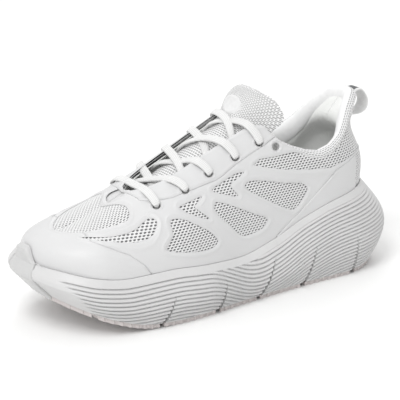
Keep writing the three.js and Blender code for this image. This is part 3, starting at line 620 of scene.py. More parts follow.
def make_midsole():
    """Rows climb the wall, turn over the rim, go down the cup and close over the footbed and the underside."""
    wall_rows = 118
    columns, middles = sipe_columns(300)
    lift = OUTSOLE_THICKNESS + CLEARANCE
    h = np.linspace(0, 1, wall_rows)[:, None]
    halves = []
    for side in (-1.0, 1.0):
        x = np.broadcast_to(columns, (wall_rows, len(columns)))
        guess = (curve(x, SOLE_BOTTOM) + lift) * (1 - h) + curve(x, SOLE_TOP) * h
        bent, slot_depth = bend_to_sipes(x, guess, middles)
        toe_start = (TOE_TUCK * np.clip((h - 0.6) / 0.4, 0, 1) ** 1.6
                     + 14 * np.clip((0.5 - h) / 0.5, 0, 1) ** 1.3)
        heel_end_inset = (19 * np.clip((h - 0.35) / 0.65, 0, 1) ** 1.6
                          + 10 * np.clip((0.35 - h) / 0.35, 0, 1) ** 1.5)
        scaled = toe_start + bent / SOLE_LENGTH * (SOLE_LENGTH - heel_end_inset - toe_start)
        blend = smoothstep(np.minimum(x, SOLE_LENGTH - x), 0, 45)
        reached = scaled + (bent - scaled) * blend
        t = station_at(reached, toe_start, SOLE_LENGTH - heel_end_inset)
        wall = sole_wall(t, np.broadcast_to(h, t.shape), side, 0.0, lift)
        inward = wall * [0, 1, 0] - np.stack([0 * t, centre_line(wall[..., 0]), 0 * t], -1)
        end = np.stack([np.where(wall[..., 0] < 150, 45, SOLE_LENGTH - 60) - wall[..., 0], -inward[..., 1],
                        0 * t], -1)
        round_end = (wall[..., 0] < 45) | (wall[..., 0] > SOLE_LENGTH - 60)
        push = np.where(round_end[..., None], end, -inward)
        push /= np.maximum(np.linalg.norm(push, axis=-1, keepdims=True), 1e-6)
        groove = groove_field(wall[..., 0], wall[..., 2], curve(wall[..., 0], SOLE_TOP),
                              curve(wall[..., 0], SOLE_BOTTOM))
        wrapped = t < WRAP_STATION
        groove = np.where(wrapped, 0, groove)
        depth = (GROOVE_DEPTH * groove * (slot_depth == 0) + SIPE_DEPTH * slot_depth
                 + np.where(wrapped, WRAP_RECESS, 0))
        wall = wall + push * depth[..., None]
        tc = t[-1]
        rim = on_last(tc, 0.0, side, CLEARANCE)
        top = curve(rim[:, 0], SOLE_TOP)
        low = top - 14 - 12 * smoothstep(rim[:, 0] / SOLE_LENGTH, 0.45, 0.75)
        rows = [wall[-1] + push[-1] * 0.5 + [0, 0, 0.25]]
        for height in (top - 0.1, top - 1.2, (top + low) / 2, low):
            ring = rim.copy()
            ring[:, 2] = height
            rows.append(ring)
        for share in (0.6, 0.3, 0.0):
            ring = rows[4].copy()
            ring[:, 1] = centre_line(ring[:, 0]) * (1 - share) + ring[:, 1] * share
            rows.append(ring)
        under = []
        for share in (0.0, 0.3, 0.6, 0.9):
            ring = wall[0].copy()
            ring[:, 1] = centre_line(ring[:, 0]) * (1 - share) + ring[:, 1] * share
            under.append(ring)
        halves.append(np.concatenate([np.array(under), wall, np.array(rows)]))
    lateral, medial = halves
    for ends in (0, -1):
        middle = (lateral[:, ends] + medial[:, ends]) / 2
        lateral[:, ends] = medial[:, ends] = middle
    lateral[0, :, 1] = medial[0, :, 1] = (lateral[0, :, 1] + medial[0, :, 1]) / 2
    medial[0], medial[-1] = lateral[0], lateral[-1]
    loop = np.concatenate([lateral, medial[:, -2:0:-1]], 1)
    faces = grid_faces(*loop.shape[:2], closed=True)
    points, faces = merge_quads(loop.reshape(-1, 3), faces)
    piece = make_mesh("midsole_foam", points, faces)
    piece.data.set_sharp_from_angle(angle=math.radians(52))
    return finish_piece(piece, FOAM, replaces=["midsole"])


def merge_quads(points, quads, tolerance=1e-4):
    """Join equal points; a quad that loses a corner becomes a triangle, and one that loses two is dropped."""
    key = np.round(points / tolerance).astype(np.int64)
    _, first, inverse = np.unique(key, axis=0, return_index=True, return_inverse=True)
    quads = inverse.reshape(-1)[quads]
    same = quads == np.roll(quads, -1, 1)
    lost = same.sum(1)
    one = quads[lost == 1]
    keep = ~(one == np.roll(one, -1, 1))
    triangles = one[keep].reshape(-1, 3)
    return points[first], [quads[lost == 0], triangles]


make_midsole()

# %% [markdown]
# Under the foam lies the outsole: a grippy toe wrap that climbs the front of the wall, and twelve thin pads
# between the slots. A pad is a block whose ground face carries slanting lugs, and whose outer edge is
# notched, so it is built as one height field with a rim and a back.

# %% Outsole
PAD_INSET = 1.0
PAD_GAP = SIPE_WIDTH / 2 + 0.4
FLEX_GROOVE = 4.0
LUG_PITCH = 7.0
LUG_DEPTH = 1.3
NOTCH_PITCH = 5.6
NOTCH_DEPTH = 1.0
WRAP_RISE = 9.0
WRAP_LEAN = -1.2


def side_at(x, h, side, grow, lift=0.0):
    """A wall point at a wanted x: the station is found from x for the wall's ends at this height."""
    toe = TOE_TUCK * np.clip((h - 0.6) / 0.4, 0, 1) ** 1.6 + 14 * np.clip((0.5 - h) / 0.5, 0, 1) ** 1.3 - grow
    heel = 19 * np.clip((h - 0.35) / 0.65, 0, 1) ** 1.6 + 10 * np.clip((0.35 - h) / 0.35, 0, 1) ** 1.5 - grow
    return sole_wall(station_at(x, toe, SOLE_LENGTH - heel), h, side, grow, lift)


def make_pad(word, side, number, start, end):
    """Rows run along the pad and columns across it, from the flex groove to the notched outer edge."""
    toe, heel = 14 + PAD_INSET + 0.4, SOLE_LENGTH - 10 - PAD_INSET - 0.4
    x = np.linspace(max(start, toe), min(end, heel), 44)[:, None]
    outer = side_at(x, np.zeros_like(x), side, -PAD_INSET)[..., 1]
    notch = smoothstep(np.abs((x / NOTCH_PITCH) % 1 - 0.5), 0.24, 0.32)
    outer = outer - side * NOTCH_DEPTH * (1 - notch)
    inner = side * FLEX_GROOVE / 2
    across = np.linspace(0, 1, 40)[None, :]
    outer = np.where(side * outer > side * inner + 0.5, outer, inner + side * 0.5)
    y = inner + (outer - inner) * across
    low = curve(x, SOLE_BOTTOM) + 0 * y
    chevron = ((x + np.abs(y) * 0.7) / LUG_PITCH) % 1
    rib = (np.abs(y) / 11.0) % 1
    groove = np.maximum(1 - smoothstep(np.abs(chevron - 0.5), 0.1, 0.16),
                        1 - smoothstep(np.abs(rib - 0.5), 0.05, 0.1))
    border = smoothstep(across * (1 - across), 0.01, 0.03)
    tread = low + LUG_DEPTH * groove * border
    back = low + OUTSOLE_THICKNESS
    face = np.stack([x + 0 * y, y, tread], -1)
    cover = np.stack([x + 0 * y, y, back], -1)
    rows, columns = y.shape
    front, rear = grid_faces(rows, columns), grid_faces(rows, columns, start=rows * columns)[:, ::-1]
    ring = border_ring(rows, columns)
    walls = np.stack([ring, ring + rows * columns, np.roll(ring, -1) + rows * columns, np.roll(ring, -1)], 1)
    faces = np.concatenate([front, rear, walls])
    if side < 0:
        faces = faces[:, ::-1]
    piece = make_mesh(f"pad_{word}_{number}", np.concatenate([face.reshape(-1, 3), cover.reshape(-1, 3)]),
                      faces)
    piece.data.set_sharp_from_angle(angle=math.radians(35))
    stands_for = [f"outsole_pad_{word}_{number}"] if number else []
    return finish_piece(piece, PAD_RUBBER, replaces=stands_for)


def border_ring(rows, columns):
    """Numbers of a grid's border points, once round."""
    top = np.arange(columns)
    right = np.arange(1, rows) * columns + columns - 1
    bottom = (rows - 1) * columns + np.arange(columns - 2, -1, -1)
    left = np.arange(rows - 2, 0, -1) * columns
    return np.concatenate([top, right, bottom, left])[::-1]


def make_pads():
    """One pad between each pair of slots, on each side of the flex groove."""
    edges = [bottom for bottom, _, _ in SIPES] + [SOLE_LENGTH + 10]
    start = 16.0
    for number, edge in enumerate(edges):
        for word, side in (("lateral", -1.0), ("medial", 1.0)):
            make_pad(word, side, number, start, edge - PAD_GAP)
        start = edge + PAD_GAP


def make_toe_wrap():
    """A skin of the toe's wall that climbs on over the toe cap: an outer face, a rounded lip and a back face."""
    h = np.linspace(0, 1, 60)[:, None]
    columns = np.linspace(0, 1, 60)[None, :]
    halves = []
    for side in (-1.0, 1.0):
        t = (WRAP_STATION - 0.003) * columns + 0 * h
        wall = sole_wall(t, h + 0 * t, side)
        climb = np.linspace(0.08, 1, 12)[:, None]
        share = 1 - smoothstep(columns, 0.3, 0.95)
        above = np.stack([WRAP_LEAN * climb ** 2 * share, 0 * climb * columns,
                          climb * (WRAP_RISE * share + 0.3)], -1)
        halves.append(np.concatenate([wall, wall[-1:] + above]))
    h = np.linspace(0, 1, len(halves[0]))[:, None]
    share = np.concatenate([share[:, ::-1], share[:, 1:]], 1)
    thickness = WRAP_THICKNESS + WRAP_LIP_GAIN * np.concatenate([np.zeros((60, 1)), climb]) * share
    outer = np.concatenate([halves[0][:, ::-1], halves[1][:, 1:]], 1)
    middle = columns.shape[1] - 1
    outer[:, middle, 1] = centre_line(outer[:, middle, 0])
    along, rise = np.gradient(outer, axis=1), np.gradient(outer, axis=0)
    normal = np.cross(rise, along)
    normal /= np.maximum(np.linalg.norm(normal, axis=-1, keepdims=True), 1e-9)
    edge = np.minimum(np.arange(outer.shape[1]), np.arange(outer.shape[1])[::-1]) / 5.0
    edge = np.minimum(edge[None, :], (1 - h) * 18)
    round_off = 0.9 * (1 - np.clip(edge, 0, 1)) ** 2
    front = outer - normal * round_off[..., None]
    back = outer - normal * thickness[..., None]
    lip = front[-1] * 0.4 + back[-1] * 0.6 + [0, 0, 0.7]
    rows, count = outer.shape[:2]
    points = np.concatenate([front.reshape(-1, 3), lip, back.reshape(-1, 3)])
    faces = [grid_faces(rows, count)]
    top = (rows - 1) * count
    lip_start, back_start = rows * count, rows * count + count
    column = np.arange(count - 1)
    faces.append(np.stack([top + column, top + column + 1, lip_start + column + 1, lip_start + column], 1))
    back_top = back_start + top
    faces.append(np.stack([lip_start + column, lip_start + column + 1, back_top + column + 1,
                           back_top + column], 1))
    faces.append(grid_faces(rows, count, start=back_start)[:, ::-1])
    faces.append(np.stack([column + 1, column, back_start + column, back_start + column + 1], 1))
    row = np.arange(rows - 1) * count
    for ends, flip in ((0, 1), (count - 1, -1)):
        a, b = row + ends, row + ends + count
        faces.append(np.stack([a, b, b + back_start, a + back_start], 1)[:, ::flip])
    caps = np.array([[top, lip_start, back_top],
                     [back_top + count - 1, lip_start + count - 1, top + count - 1]])
    piece = make_mesh("toe_wrap", points, [np.concatenate(faces), caps])
    piece.data.set_sharp_from_angle(angle=math.radians(50))
    return finish_piece(piece, SHADED_TOE_RUBBER, replaces=["outsole_toe_wrap"])


make_pads()
make_toe_wrap()

# %% [markdown]
# The upper is a knit sock with a film fused over it. The film has windows, and along every window runs a
# raised bead from the pressing tool. Outlines are given as the pattern maker draws them, seen from the side
# as (x, height) or from above as (x, distance from the middle).

# %% Pattern outlines
TOE_CAP_EDGE = [(82, 30), (71, 48), (62, 56), (50, 62), (41, 66), (36, 90)]
HEEL_PANEL_EDGE = [(178, 30), (184, 44), (206, 58), (224, 71), (240, 82.5), (262, 88), (320, 92)]
COLLAR_RIM = [(184, 127), (190, 118), (197, 110.5), (206, 104.5), (217, 99), (228, 96), (239, 98.5),
              (250, 104.6), (268, 120.5),
              (280, 128), (290, 130), (330, 131)]
COLLAR_STRIP = [(171, 98.5), (177, 101.6), (190, 101.4), (204, 102.3), (215, 99.5), (228, 97), (250, 106),
                (268, 121), (330, 134), (330, 93.5), (262, 89.5), (247, 87), (235, 85.5), (217, 87.5),
                (197, 91), (180, 95.5)]
SIDE_WINDOWS = [
    [(97, 73), (106, 73), (115, 68), (125, 61), (131, 54), (130, 50.5), (122, 48.5), (105, 50.5),
     (90, 54.5), (90, 58), (96, 64)],
    [(133, 76), (135, 79), (142, 77), (154, 71), (166, 64.5), (175, 60), (176.5, 56.5), (170, 52),
     (157, 50.5), (151, 53), (142, 62), (133.5, 72)],
    [(161, 85), (165, 88), (177, 86.5), (195, 81.5), (208, 79), (213.5, 74), (210, 68.5), (203, 61.5),
     (198, 61), (188, 66), (176, 73.5), (163, 82)],
    [(107, 79.7), (112.5, 82), (125, 84.6), (123, 82.3), (118, 79), (121, 75.5), (127, 69.2), (115, 74)],
    [(134.5, 87), (144, 91), (156, 94.8), (163, 95), (157, 91.6), (150, 87.6), (154.5, 79.5), (144, 82.6)],
]
VAMP_WINDOW = [(29, 0), (31, 8), (37, 16), (47, 23), (60, 28), (70, 30), (74, 27), (76, 19), (73, 11),
               (67, 3),
               (66, 0)]
TOE_TEARDROP = [(71, -3), (73, 5), (78, 9), (84, 5), (85, -3), (79, -6)]
TOE_CRESCENT = [(37, 23), (48, 31), (60, 36), (72, 38), (79, 37), (85, 37), (88, 41), (84, 44.5), (76, 45),
                (65, 42.5), (52, 36.5), (44, 31)]
THROAT = [(85, 0), (87, 7), (94, 14.5), (106, 19), (122, 21), (150, 22.5), (172, 24), (186, 27.5),
          (197, 31.5), (206, 36)]
THROAT_MEDIAL_SHARE = 0.76
EYESTAY_WIDTH = 15.0
EYELET_RADIUS = 2.9
EYELETS = [(0.3772, 0.608), (0.4341, 0.583), (0.4834, 0.575), (0.5367, 0.55), (0.5862, 0.525),
           (0.6159, 0.433)]
# Pressed lines that only decorate the film, seen from the side.
PRESSED_LINES = [
    [(63, 54.6), (70, 49.1), (78.8, 41.9)],
    [(159.5, 101.7), (171.5, 106.3), (185, 111.4)],
    [(206, 85.8), (222, 83.6), (240, 80.8)],
    [(240, 80.8), (224, 70.3), (206, 57.4), (192, 48.6), (182, 41.6)],
]


def mirrored(outline, medial_share=1.0):
    """A half outline seen from above, closed by its mirror image on the lateral side."""
    half = np.array(outline, float)
    other = half[::-1] * [1, -1]
    whole = np.concatenate([half * [1, medial_share], other])
    step = np.linalg.norm(whole - np.roll(whole, 1, 0), axis=1)
    return whole[step > 0.01]


# Closed regions seen from the side: what lies above the collar's edge, and each film's own ground.
ZONES = {
    "above_rim": COLLAR_RIM + [(330, 240), (184, 240)],
    "toe": TOE_CAP_EDGE + [(-40, 90), (-40, 20)],
    "heel": HEEL_PANEL_EDGE + [(320, 20), (178, 20)],
    "strip": COLLAR_STRIP,
    "heel_back": [(263, 100), (264, 84), (262, 72), (260, 20), (340, 20), (340, 100)],
    "stay_side": [(70, 60), (92, 74), (110, 86.5), (130, 89.5), (146, 95), (160, 101.5), (172, 106.3),
                  (185, 111), (196, 116), (196, 240), (70, 240)],
}

SMOOTH_WINDOWS = [closed_spline(window, 6) for window in SIDE_WINDOWS]
SMOOTH_VAMP = closed_spline(mirrored(VAMP_WINDOW), 6)
SMOOTH_TEARDROP = closed_spline(TOE_TEARDROP, 8)
SMOOTH_CRESCENT = closed_spline(TOE_CRESCENT, 6)
THROAT_OUTLINE = mirrored(THROAT, THROAT_MEDIAL_SHARE)
EYESTAY_OUTER = mirrored([(85 - EYESTAY_WIDTH * 0.15, 0)] + [(x - 1, y + EYESTAY_WIDTH) for x,
                                                             y in THROAT[1:]],
                         (THROAT_MEDIAL_SHARE + 1) / 2)


def fields(points, side):
    """Signed distances, positive inside, of points on the upper to every outline of the pattern."""
    side_view, top_view = points[..., [0, 2]], points[..., [0, 1]]
    reflected = np.stack([points[..., 0], points[..., 1] * side], -1)
    found = {"windows": np.max([signed_distance(side_view, window) for window in SMOOTH_WINDOWS], 0)}
    found["vamp"] = signed_distance(top_view, SMOOTH_VAMP)
    found["teardrop"] = signed_distance(top_view, SMOOTH_TEARDROP)
    found["crescent"] = signed_distance(reflected, SMOOTH_CRESCENT)
    for name in ("vamp", "teardrop", "crescent"):
        found[name] = np.where(points[..., 0] < 110, found[name], -60)
    found["throat"] = np.where(points[..., 2] > 60, signed_distance(top_view, THROAT_OUTLINE), -30)
    stay = np.where(points[..., 2] > 60, signed_distance(top_view, EYESTAY_OUTER), -30)
    for name, outline in ZONES.items():
        found[name] = signed_distance(side_view, np.array(outline, float))
    found["eyestay"] = np.minimum(stay, found["stay_side"])
    holes = [last(np.array(t), np.array(v), np.array(float(side))) for t, v in EYELETS]
    found["eyelet"] = np.max([EYELET_RADIUS - np.linalg.norm(points - hole, axis=-1) for hole in holes], 0)
    lines = [side_of_line(side_view, np.array(line, float)) for line in PRESSED_LINES]
    found["pressed"] = np.min(np.abs(lines), 0)
    return found


print("outlines:", len(SMOOTH_WINDOWS) + 8)

# %% [markdown]
# Film, lining and padding are all sheets of the same block, so one function makes a closed sheet between two
# offsets: the kept triangles of a fine grid, the same ones turned over, and a wall along every free edge.

# %% Sheets of the upper
UPPER_COLUMNS, UPPER_ROWS = 420, 130


def upper_grid(side, columns=UPPER_COLUMNS, rows=UPPER_ROWS):
    """Triangles of a grid over one side of the upper, with its (t, v) points."""
    t, v = np.meshgrid(np.linspace(0, 1, columns), np.linspace(0, 1, rows))
    quads = grid_faces(rows, columns)
    triangles = np.concatenate([quads[:, [0, 1, 2]], quads[:, [0, 2, 3]]])
    return np.stack([t.ravel(), v.ravel()], -1), triangles


def closed_sheet(uv, triangles, side, outer, inner, place=on_last):
    """Points and triangles of a closed sheet: outer and inner faces joined round the free edges."""
    uv = np.clip(uv, 0, 1)
    top = place(uv[:, 0], uv[:, 1], side, outer)
    low = place(uv[:, 0], uv[:, 1], side, inner)
    count = len(uv)
    if side > 0:
        triangles = triangles[:, ::-1]
    edge = edge_loops(triangles)
    a, b = edge[:, 0], edge[:, 1]
    walls = np.concatenate([np.stack([b, a, a + count], 1), np.stack([b, a + count, b + count], 1)])
    return np.concatenate([top, low]), np.concatenate([triangles, triangles[:, ::-1] + count, walls])


def join_parts(parts):
    """One array of points and one of faces from several (points, faces) pairs."""
    starts = np.cumsum([0] + [len(points) for points, _ in parts[:-1]])
    return np.concatenate([p for p, _ in parts]), np.concatenate([f + s for (_, f), s in zip(parts, starts)])


print("upper grid:", UPPER_COLUMNS * UPPER_ROWS, "points a side")

# %% [markdown]
# The film's relief carries the pressed detail: a rounded free edge, a bead about 2.4 mm outside each window,
# a ring round each lace hole, and thin pressed lines along the seams.

# %% Fused film
FILM_LOW = 0.1
BEAD_DISTANCE = 2.5


def ridge(distance, width):
    """A raised line: a bell curve of the distance from its middle."""
    return np.exp(-(distance / width) ** 2)


def film_relief(found, edge):
    """Height of the film above its inner face: thickness, beads, rings and lines, rounded off at the edge."""
    relief = np.full(edge.shape, FILM_THICKNESS)
    for name in ("windows", "crescent", "vamp", "teardrop"):
        relief += 0.42 * ridge(-found[name] - BEAD_DISTANCE, 0.75)
    relief += 0.25 * ridge(-found["strip"] - 2.2, 0.8)
    relief += 0.45 * ridge(-found["eyelet"] - 1.4, 0.7)
    relief += 0.38 * ridge(found["pressed"], 0.8)
    relief += 0.3 * ridge(found["eyestay"] - 1.2, 0.9)
    relief += 0.35 * ridge(-found["throat"] - 1.5, 0.8)
    return relief - 0.55 * (1 - smoothstep(edge, 0.0, 1.1))


def on_sides(uv, side):
    return on_last(uv[:, 0], uv[:, 1], side, 0.0)


def floor_height(points):
    """Height of a point above the sole's top edge, less the gap that the film keeps to it."""
    return points[..., 2] - curve(points[..., 0], SOLE_TOP) - 0.25


GRIDS = {}
for grid_side in (-1.0, 1.0):
    grid_uv, grid_triangles = upper_grid(grid_side)
    grid_points = on_sides(grid_uv, grid_side)
    GRIDS[grid_side] = (grid_uv, grid_triangles, fields(grid_points, grid_side), floor_height(grid_points))


def film_part(side, zone, cuts):
    """Cut a side's grid to a zone, less its holes, and give it the film's relief."""
    uv, triangles, found, floor = GRIDS[side]
    keep = np.minimum.reduce([zone(found), floor] + [-found[name] for name in cuts])
    uv, triangles = keep_inside(uv, triangles, keep)
    if not len(triangles):
        return None
    points = on_sides(np.clip(uv, 0, 1), side)
    found = fields(points, side)
    edge = np.minimum.reduce([zone(found), floor_height(points) + 1.2] + [-found[name] for name in cuts])
    outer = FILM_LOW + film_relief(found, np.maximum(edge, 0))
    return closed_sheet(uv, triangles, side, outer, FILM_LOW)


FREE_HOLES = ["throat", "above_rim", "eyelet"]
PANEL_HOLES = FREE_HOLES + ["windows", "vamp", "teardrop", "crescent", "strip"]


def panel_zone(found):
    """The overlay fills what the toe cap, the heel panel and the eyestay leave."""
    return np.minimum.reduce([-found["toe"] - 0.15, -found["heel"] - 0.15, -found["eyestay"] - 0.15])


def make_film():
    def add(name, node, parts):
        points, faces = join_parts([part for part in parts if part is not None])
        piece = make_mesh(name, points, faces)
        piece.data.set_sharp_from_angle(angle=math.radians(60))
        finish_piece(piece, FILM, replaces=[node])

    add("toe_cap", "toe_cap_film", [film_part(side, lambda f: f["toe"],
                                              FREE_HOLES + ["vamp", "crescent"]) for side in (-1.0, 1.0)])
    add("heel_wrap", "heel_panel", [film_part(side, lambda f: f["heel"],
                                              FREE_HOLES + ["heel_back"]) for side in (-1.0, 1.0)])
    for word, side in (("lateral", -1.0), ("medial", 1.0)):
        add(f"side_panel_{word}", f"overlay_{word}", [film_part(side, panel_zone, PANEL_HOLES)])
        stay = film_part(side, lambda f: np.minimum.reduce([f["eyestay"], -f["toe"] - 0.15,
                                                            -f["heel"] - 0.15]),
                         FREE_HOLES + ["strip"])
        add(f"lace_stay_{word}", f"eyestay_{word}", [stay])


make_film()

# %% [markdown]
# Under the film is the knit: an open mesh of slanted holes in staggered rows, with painted shade in the holes.
# It shows in the windows, on the toe and round the collar, so the holes are real there: each is a small
# cell of a few dozen faces, with a rolled edge and a floor. A plain skin fills the rest of the sock.

# %% Knit
CELL_WIDTH = 3.0
CELL_HEIGHT = 1.75
HOLE_DEPTH = 0.95


def knit_cell():
    """One cell around (0, 0): rings of eight points from its border to the hole's floor, with a height each."""
    border = np.array([(-1, -1), (0, -1), (1, -1), (1, 0), (1, 1), (0, 1), (-1, 1), (-1, 0)], float)
    border *= [CELL_WIDTH / 2, CELL_HEIGHT / 2]
    angle = np.radians([215, 270, 325, 0, 35, 90, 145, 180])
    ring = np.stack([np.cos(angle), np.sin(angle)], 1)
    ring[:, 0] += 0.35 * ring[:, 1]
    radius = np.array([CELL_WIDTH, CELL_HEIGHT]) * 0.36
    rings = [(border, -0.1), (ring * radius * 1.12, 0.06), (ring * radius * 0.96, -0.22),
             (ring * radius * 0.82, -HOLE_DEPTH)]
    plan_points = np.concatenate([r for r, _ in rings] + [[(0, 0)]])
    height = np.concatenate([np.full(8, z) for _, z in rings] + [[-HOLE_DEPTH]])
    # Painted shade of the hole: none on the border and the rim, some on the rolled edge, full on the floor.
    shade = np.concatenate([np.zeros(16), np.full(8, 0.35), np.ones(9)])
    k = np.arange(8)
    n = (k + 1) % 8
    quads = np.concatenate([np.stack([8 * r + k, 8 * r + n, 8 * r + 8 + n, 8 * r + 8 + k],
                                     1) for r in range(3)])
    triangles = np.concatenate([quads[:, [0, 1, 2]], quads[:, [0, 2, 3]],
                                np.stack([24 + k, 24 + n, 0 * k + 32], 1)])
    return plan_points, height, shade, triangles


def cell_centres(low, high):
    """Centres of staggered cells that fill a rectangle: every other row is shifted by half a cell."""
    row = np.arange(np.ceil(low[1] / CELL_HEIGHT), high[1] / CELL_HEIGHT)
    column = np.arange(np.ceil(low[0] / CELL_WIDTH), high[0] / CELL_WIDTH)
    r, c = np.meshgrid(row, column, indexing="ij")
    return np.stack([(c + (r % 2) / 2) * CELL_WIDTH, r * CELL_HEIGHT], -1).reshape(-1, 2)


def knit_patch(centres, surface):
    """Copies of the cell at the centres, laid on a surface that takes plan points and heights."""
    plan_points, height, shade, triangles = knit_cell()
    where = centres[:, None] + plan_points
    points = surface(where.reshape(-1, 2), np.tile(height, len(centres)))
    faces = triangles + np.arange(len(centres))[:, None, None] * len(plan_points)
    return points, faces.reshape(-1, 3), np.tile(shade, len(centres))


def wall_length(side):
    """Length along the upper's foot from the toe, for many stations."""
    t = np.linspace(0, 1, 2001)
    ring = last(t, np.full_like(t, 0.3), np.full_like(t, side))
    return t, np.concatenate([[0], np.cumsum(np.linalg.norm(np.diff(ring, axis=0), axis=1))])


def side_surface(side):
    """Lay a plan of (length along the side, height) on the upper: t from the length, v from the height."""
    t_table, length = wall_length(side)

    def surface(where, height):
        t = np.interp(where[:, 0], length, t_table)
        x, _ = plan(t, side, UPPER_INSET, UPPER_TOE, 21)
        low = curve(x, SOLE_TOP) - 3
        lean = 30 * np.clip(1 - (x - 12) / 90, 0, 1) ** 2 - 22 * np.clip((x - 200) / 80, 0, 1) ** 2
        up = np.clip((where[:, 1] - low) / (curve(x + lean, SPINE) - low), 0, 1)
        v = np.arcsin(up ** (2.25 / 2)) * 2 / np.pi
        return on_last(t, v, side, height - 0.05)
    return surface


def top_surface(where, height):
    """Lay a plan of (x, y) on the toe, by Newton steps from a first guess of its station and height share."""
    side = np.where(where[:, 1] < SPINE_SWING * centre_line(where[:, 0]), -1.0, 1.0)
    grid_t, grid_v = np.meshgrid(np.linspace(0.02, 0.55, 60), np.linspace(0.3, 1, 40))
    t, v = np.zeros(len(where)), np.zeros(len(where))
    for hand in (-1.0, 1.0):
        table = last(grid_t, grid_v, np.full_like(grid_t, hand))[..., :2].reshape(-1, 2)
        mine = np.flatnonzero(side == hand)
        for start in range(0, len(mine), 2000):
            part = mine[start:start + 2000]
            near = np.argmin(((where[part, None] - table) ** 2).sum(-1), 1)
            t[part], v[part] = grid_t.ravel()[near], grid_v.ravel()[near]
    step = 1e-4
    for _ in range(8):
        at = last(t, v, side)[:, :2]
        dt = (last(t + step, v, side)[:, :2] - at) / step
        dv = (at - last(t, v - step, side)[:, :2]) / step
        miss = where - at
        det = dt[:, 0] * dv[:, 1] - dt[:, 1] * dv[:, 0]
        det = np.where(np.abs(det) < 1e-6, 1e-6, det)
        t = np.clip(t + np.clip((miss[:, 0] * dv[:, 1] - miss[:, 1] * dv[:, 0]) / det, -0.02, 0.02), 0.01,
                    0.6)
        v = np.clip(v + np.clip((dt[:, 0] * miss[:, 1] - dt[:, 1] * miss[:, 0]) / det, -0.05, 0.05), 0.05, 1)
    points = on_last(t, v, side, height - 0.05)
    points[:, 1] += np.where(v >= 0.9999, where[:, 1] - points[:, 1], 0)
    return points


def merge_shaded(points, faces, shade, tolerance=0.02):
    """Join the cells along their shared borders and carry the shade over."""
    key = np.round(points / tolerance).astype(np.int64)
    _, first, inverse = np.unique(key, axis=0, return_index=True, return_inverse=True)
    faces = inverse.reshape(-1)[faces]
    good = (faces[:, 0] != faces[:, 1]) & (faces[:, 1] != faces[:, 2]) & (faces[:, 2] != faces[:, 0])
    return points[first], faces[good], shade[first]


def skin_part(side, zone, holes):
    """The plain sock under the film: a closed sheet from 1.2 to 1.0 mm below the last's face."""
    uv, triangles = upper_grid(side, 150, 60)
    points = on_sides(uv, side)
    found = fields(points, side)
    keep = np.minimum.reduce([zone(points, found)] + [-found[name] for name in holes])
    uv, triangles = keep_inside(uv, triangles, keep)
    return closed_sheet(uv, triangles, side, -1.02, -MESH_THICKNESS)


def knit_material():
    """White yarn with painted shade in the holes: the shade attribute mixes the yarn with a dark grey, and a fine rib
    is bumped.
    """
    material, tree, shader = new_material("knit", (0.82, 0.82, 0.82), 0.8, Sheen_Weight=0.25,
                                          Sheen_Roughness=0.5)
    shade = tree.nodes.new("ShaderNodeAttribute")
    shade.attribute_name = "shade"
    where = object_coordinates(tree)
    fine = ramp(tree, add_noise(tree, where, 2600, 2), [(0.3, 0.72), (0.7, 0.8)])
    mix = tree.nodes.new("ShaderNodeMix")
    mix.data_type = "RGBA"
    link(tree, shade.outputs["Fac"], mix.inputs["Factor"])
    link(tree, fine, mix.inputs[6])
    # The dark grey of the painted shade in the holes.
    mix.inputs[7].default_value = (0.2, 0.2, 0.205, 1)
    link(tree, mix.outputs[2], shader.inputs["Base Color"])
    wave = tree.nodes.new("ShaderNodeTexWave")
    wave.inputs["Scale"].default_value = 900
    link(tree, where, wave.inputs["Vector"])
    bump(tree, shader, wave.outputs["Fac"], 0.35, 0.00012)
    return material


KNIT = knit_material()
VAMP_EDGE = 86.0


def add_point_values(piece, name, values):
    layer = piece.data.attributes.new(name, "FLOAT", "POINT")
    layer.data.foreach_set("value", np.asarray(values, np.float32))


def make_knit(name, node, patches, skins):
    """One object from the merged cells of its patches and from its plain skins."""
    points, faces, shade = [], [], []
    total = 0
    for patch_points, patch_faces, patch_shade in [merge_shaded(*patch) for patch in patches]:
        points.append(patch_points)
        faces.append(patch_faces + total)
        shade.append(patch_shade)
        total += len(patch_points)
    for skin_points, skin_faces in skins:
        points.append(skin_points)
        faces.append(skin_faces + total)
        # The plain skin carries a quarter of the painted hole shade.
        shade.append(np.full(len(skin_points), 0.25))
        total += len(skin_points)
    piece = make_mesh(name, np.concatenate(points), np.concatenate(faces), closed=False)
    add_point_values(piece, "shade", np.concatenate(shade))
    return finish_piece(piece, KNIT, replaces=[node])


def side_cells(side, behind):
    """Cells of one side that show: in the windows, the crescent or the collar strip, with a margin."""
    surface = side_surface(side)
    centres = cell_centres((30, 34), (330, 136))
    points = surface(centres, np.zeros(len(centres)))
    found = fields(points, side)
    shown = np.maximum.reduce([found["windows"], found["strip"], found["crescent"],
                               found["heel_back"]]) > -2.2
    inside = (found["above_rim"] < -1.0) & (found["throat"] < 0) & ((found["heel"] < 2.0) | (found["heel_back"] > -2))
    place = points[:, 0] > VAMP_EDGE if behind else points[:, 0] <= VAMP_EDGE
    whole = centres[:, 0] < wall_length(side)[1][-1] + 0.4 * CELL_WIDTH
    keep = shown & inside & place & whole & (floor_height(points) > -0.5)
    points, faces, shade = knit_patch(centres[keep], surface)
    if side > 0:
        faces = faces[:, ::-1]
    return points, faces, shade


def vamp_cells():
    """Cells of the toe window, laid out from above."""
    centres = cell_centres((25, -32), (88, 32))
    found = signed_distance(centres, SMOOTH_VAMP)
    return knit_patch(centres[found > -2.2], top_surface)


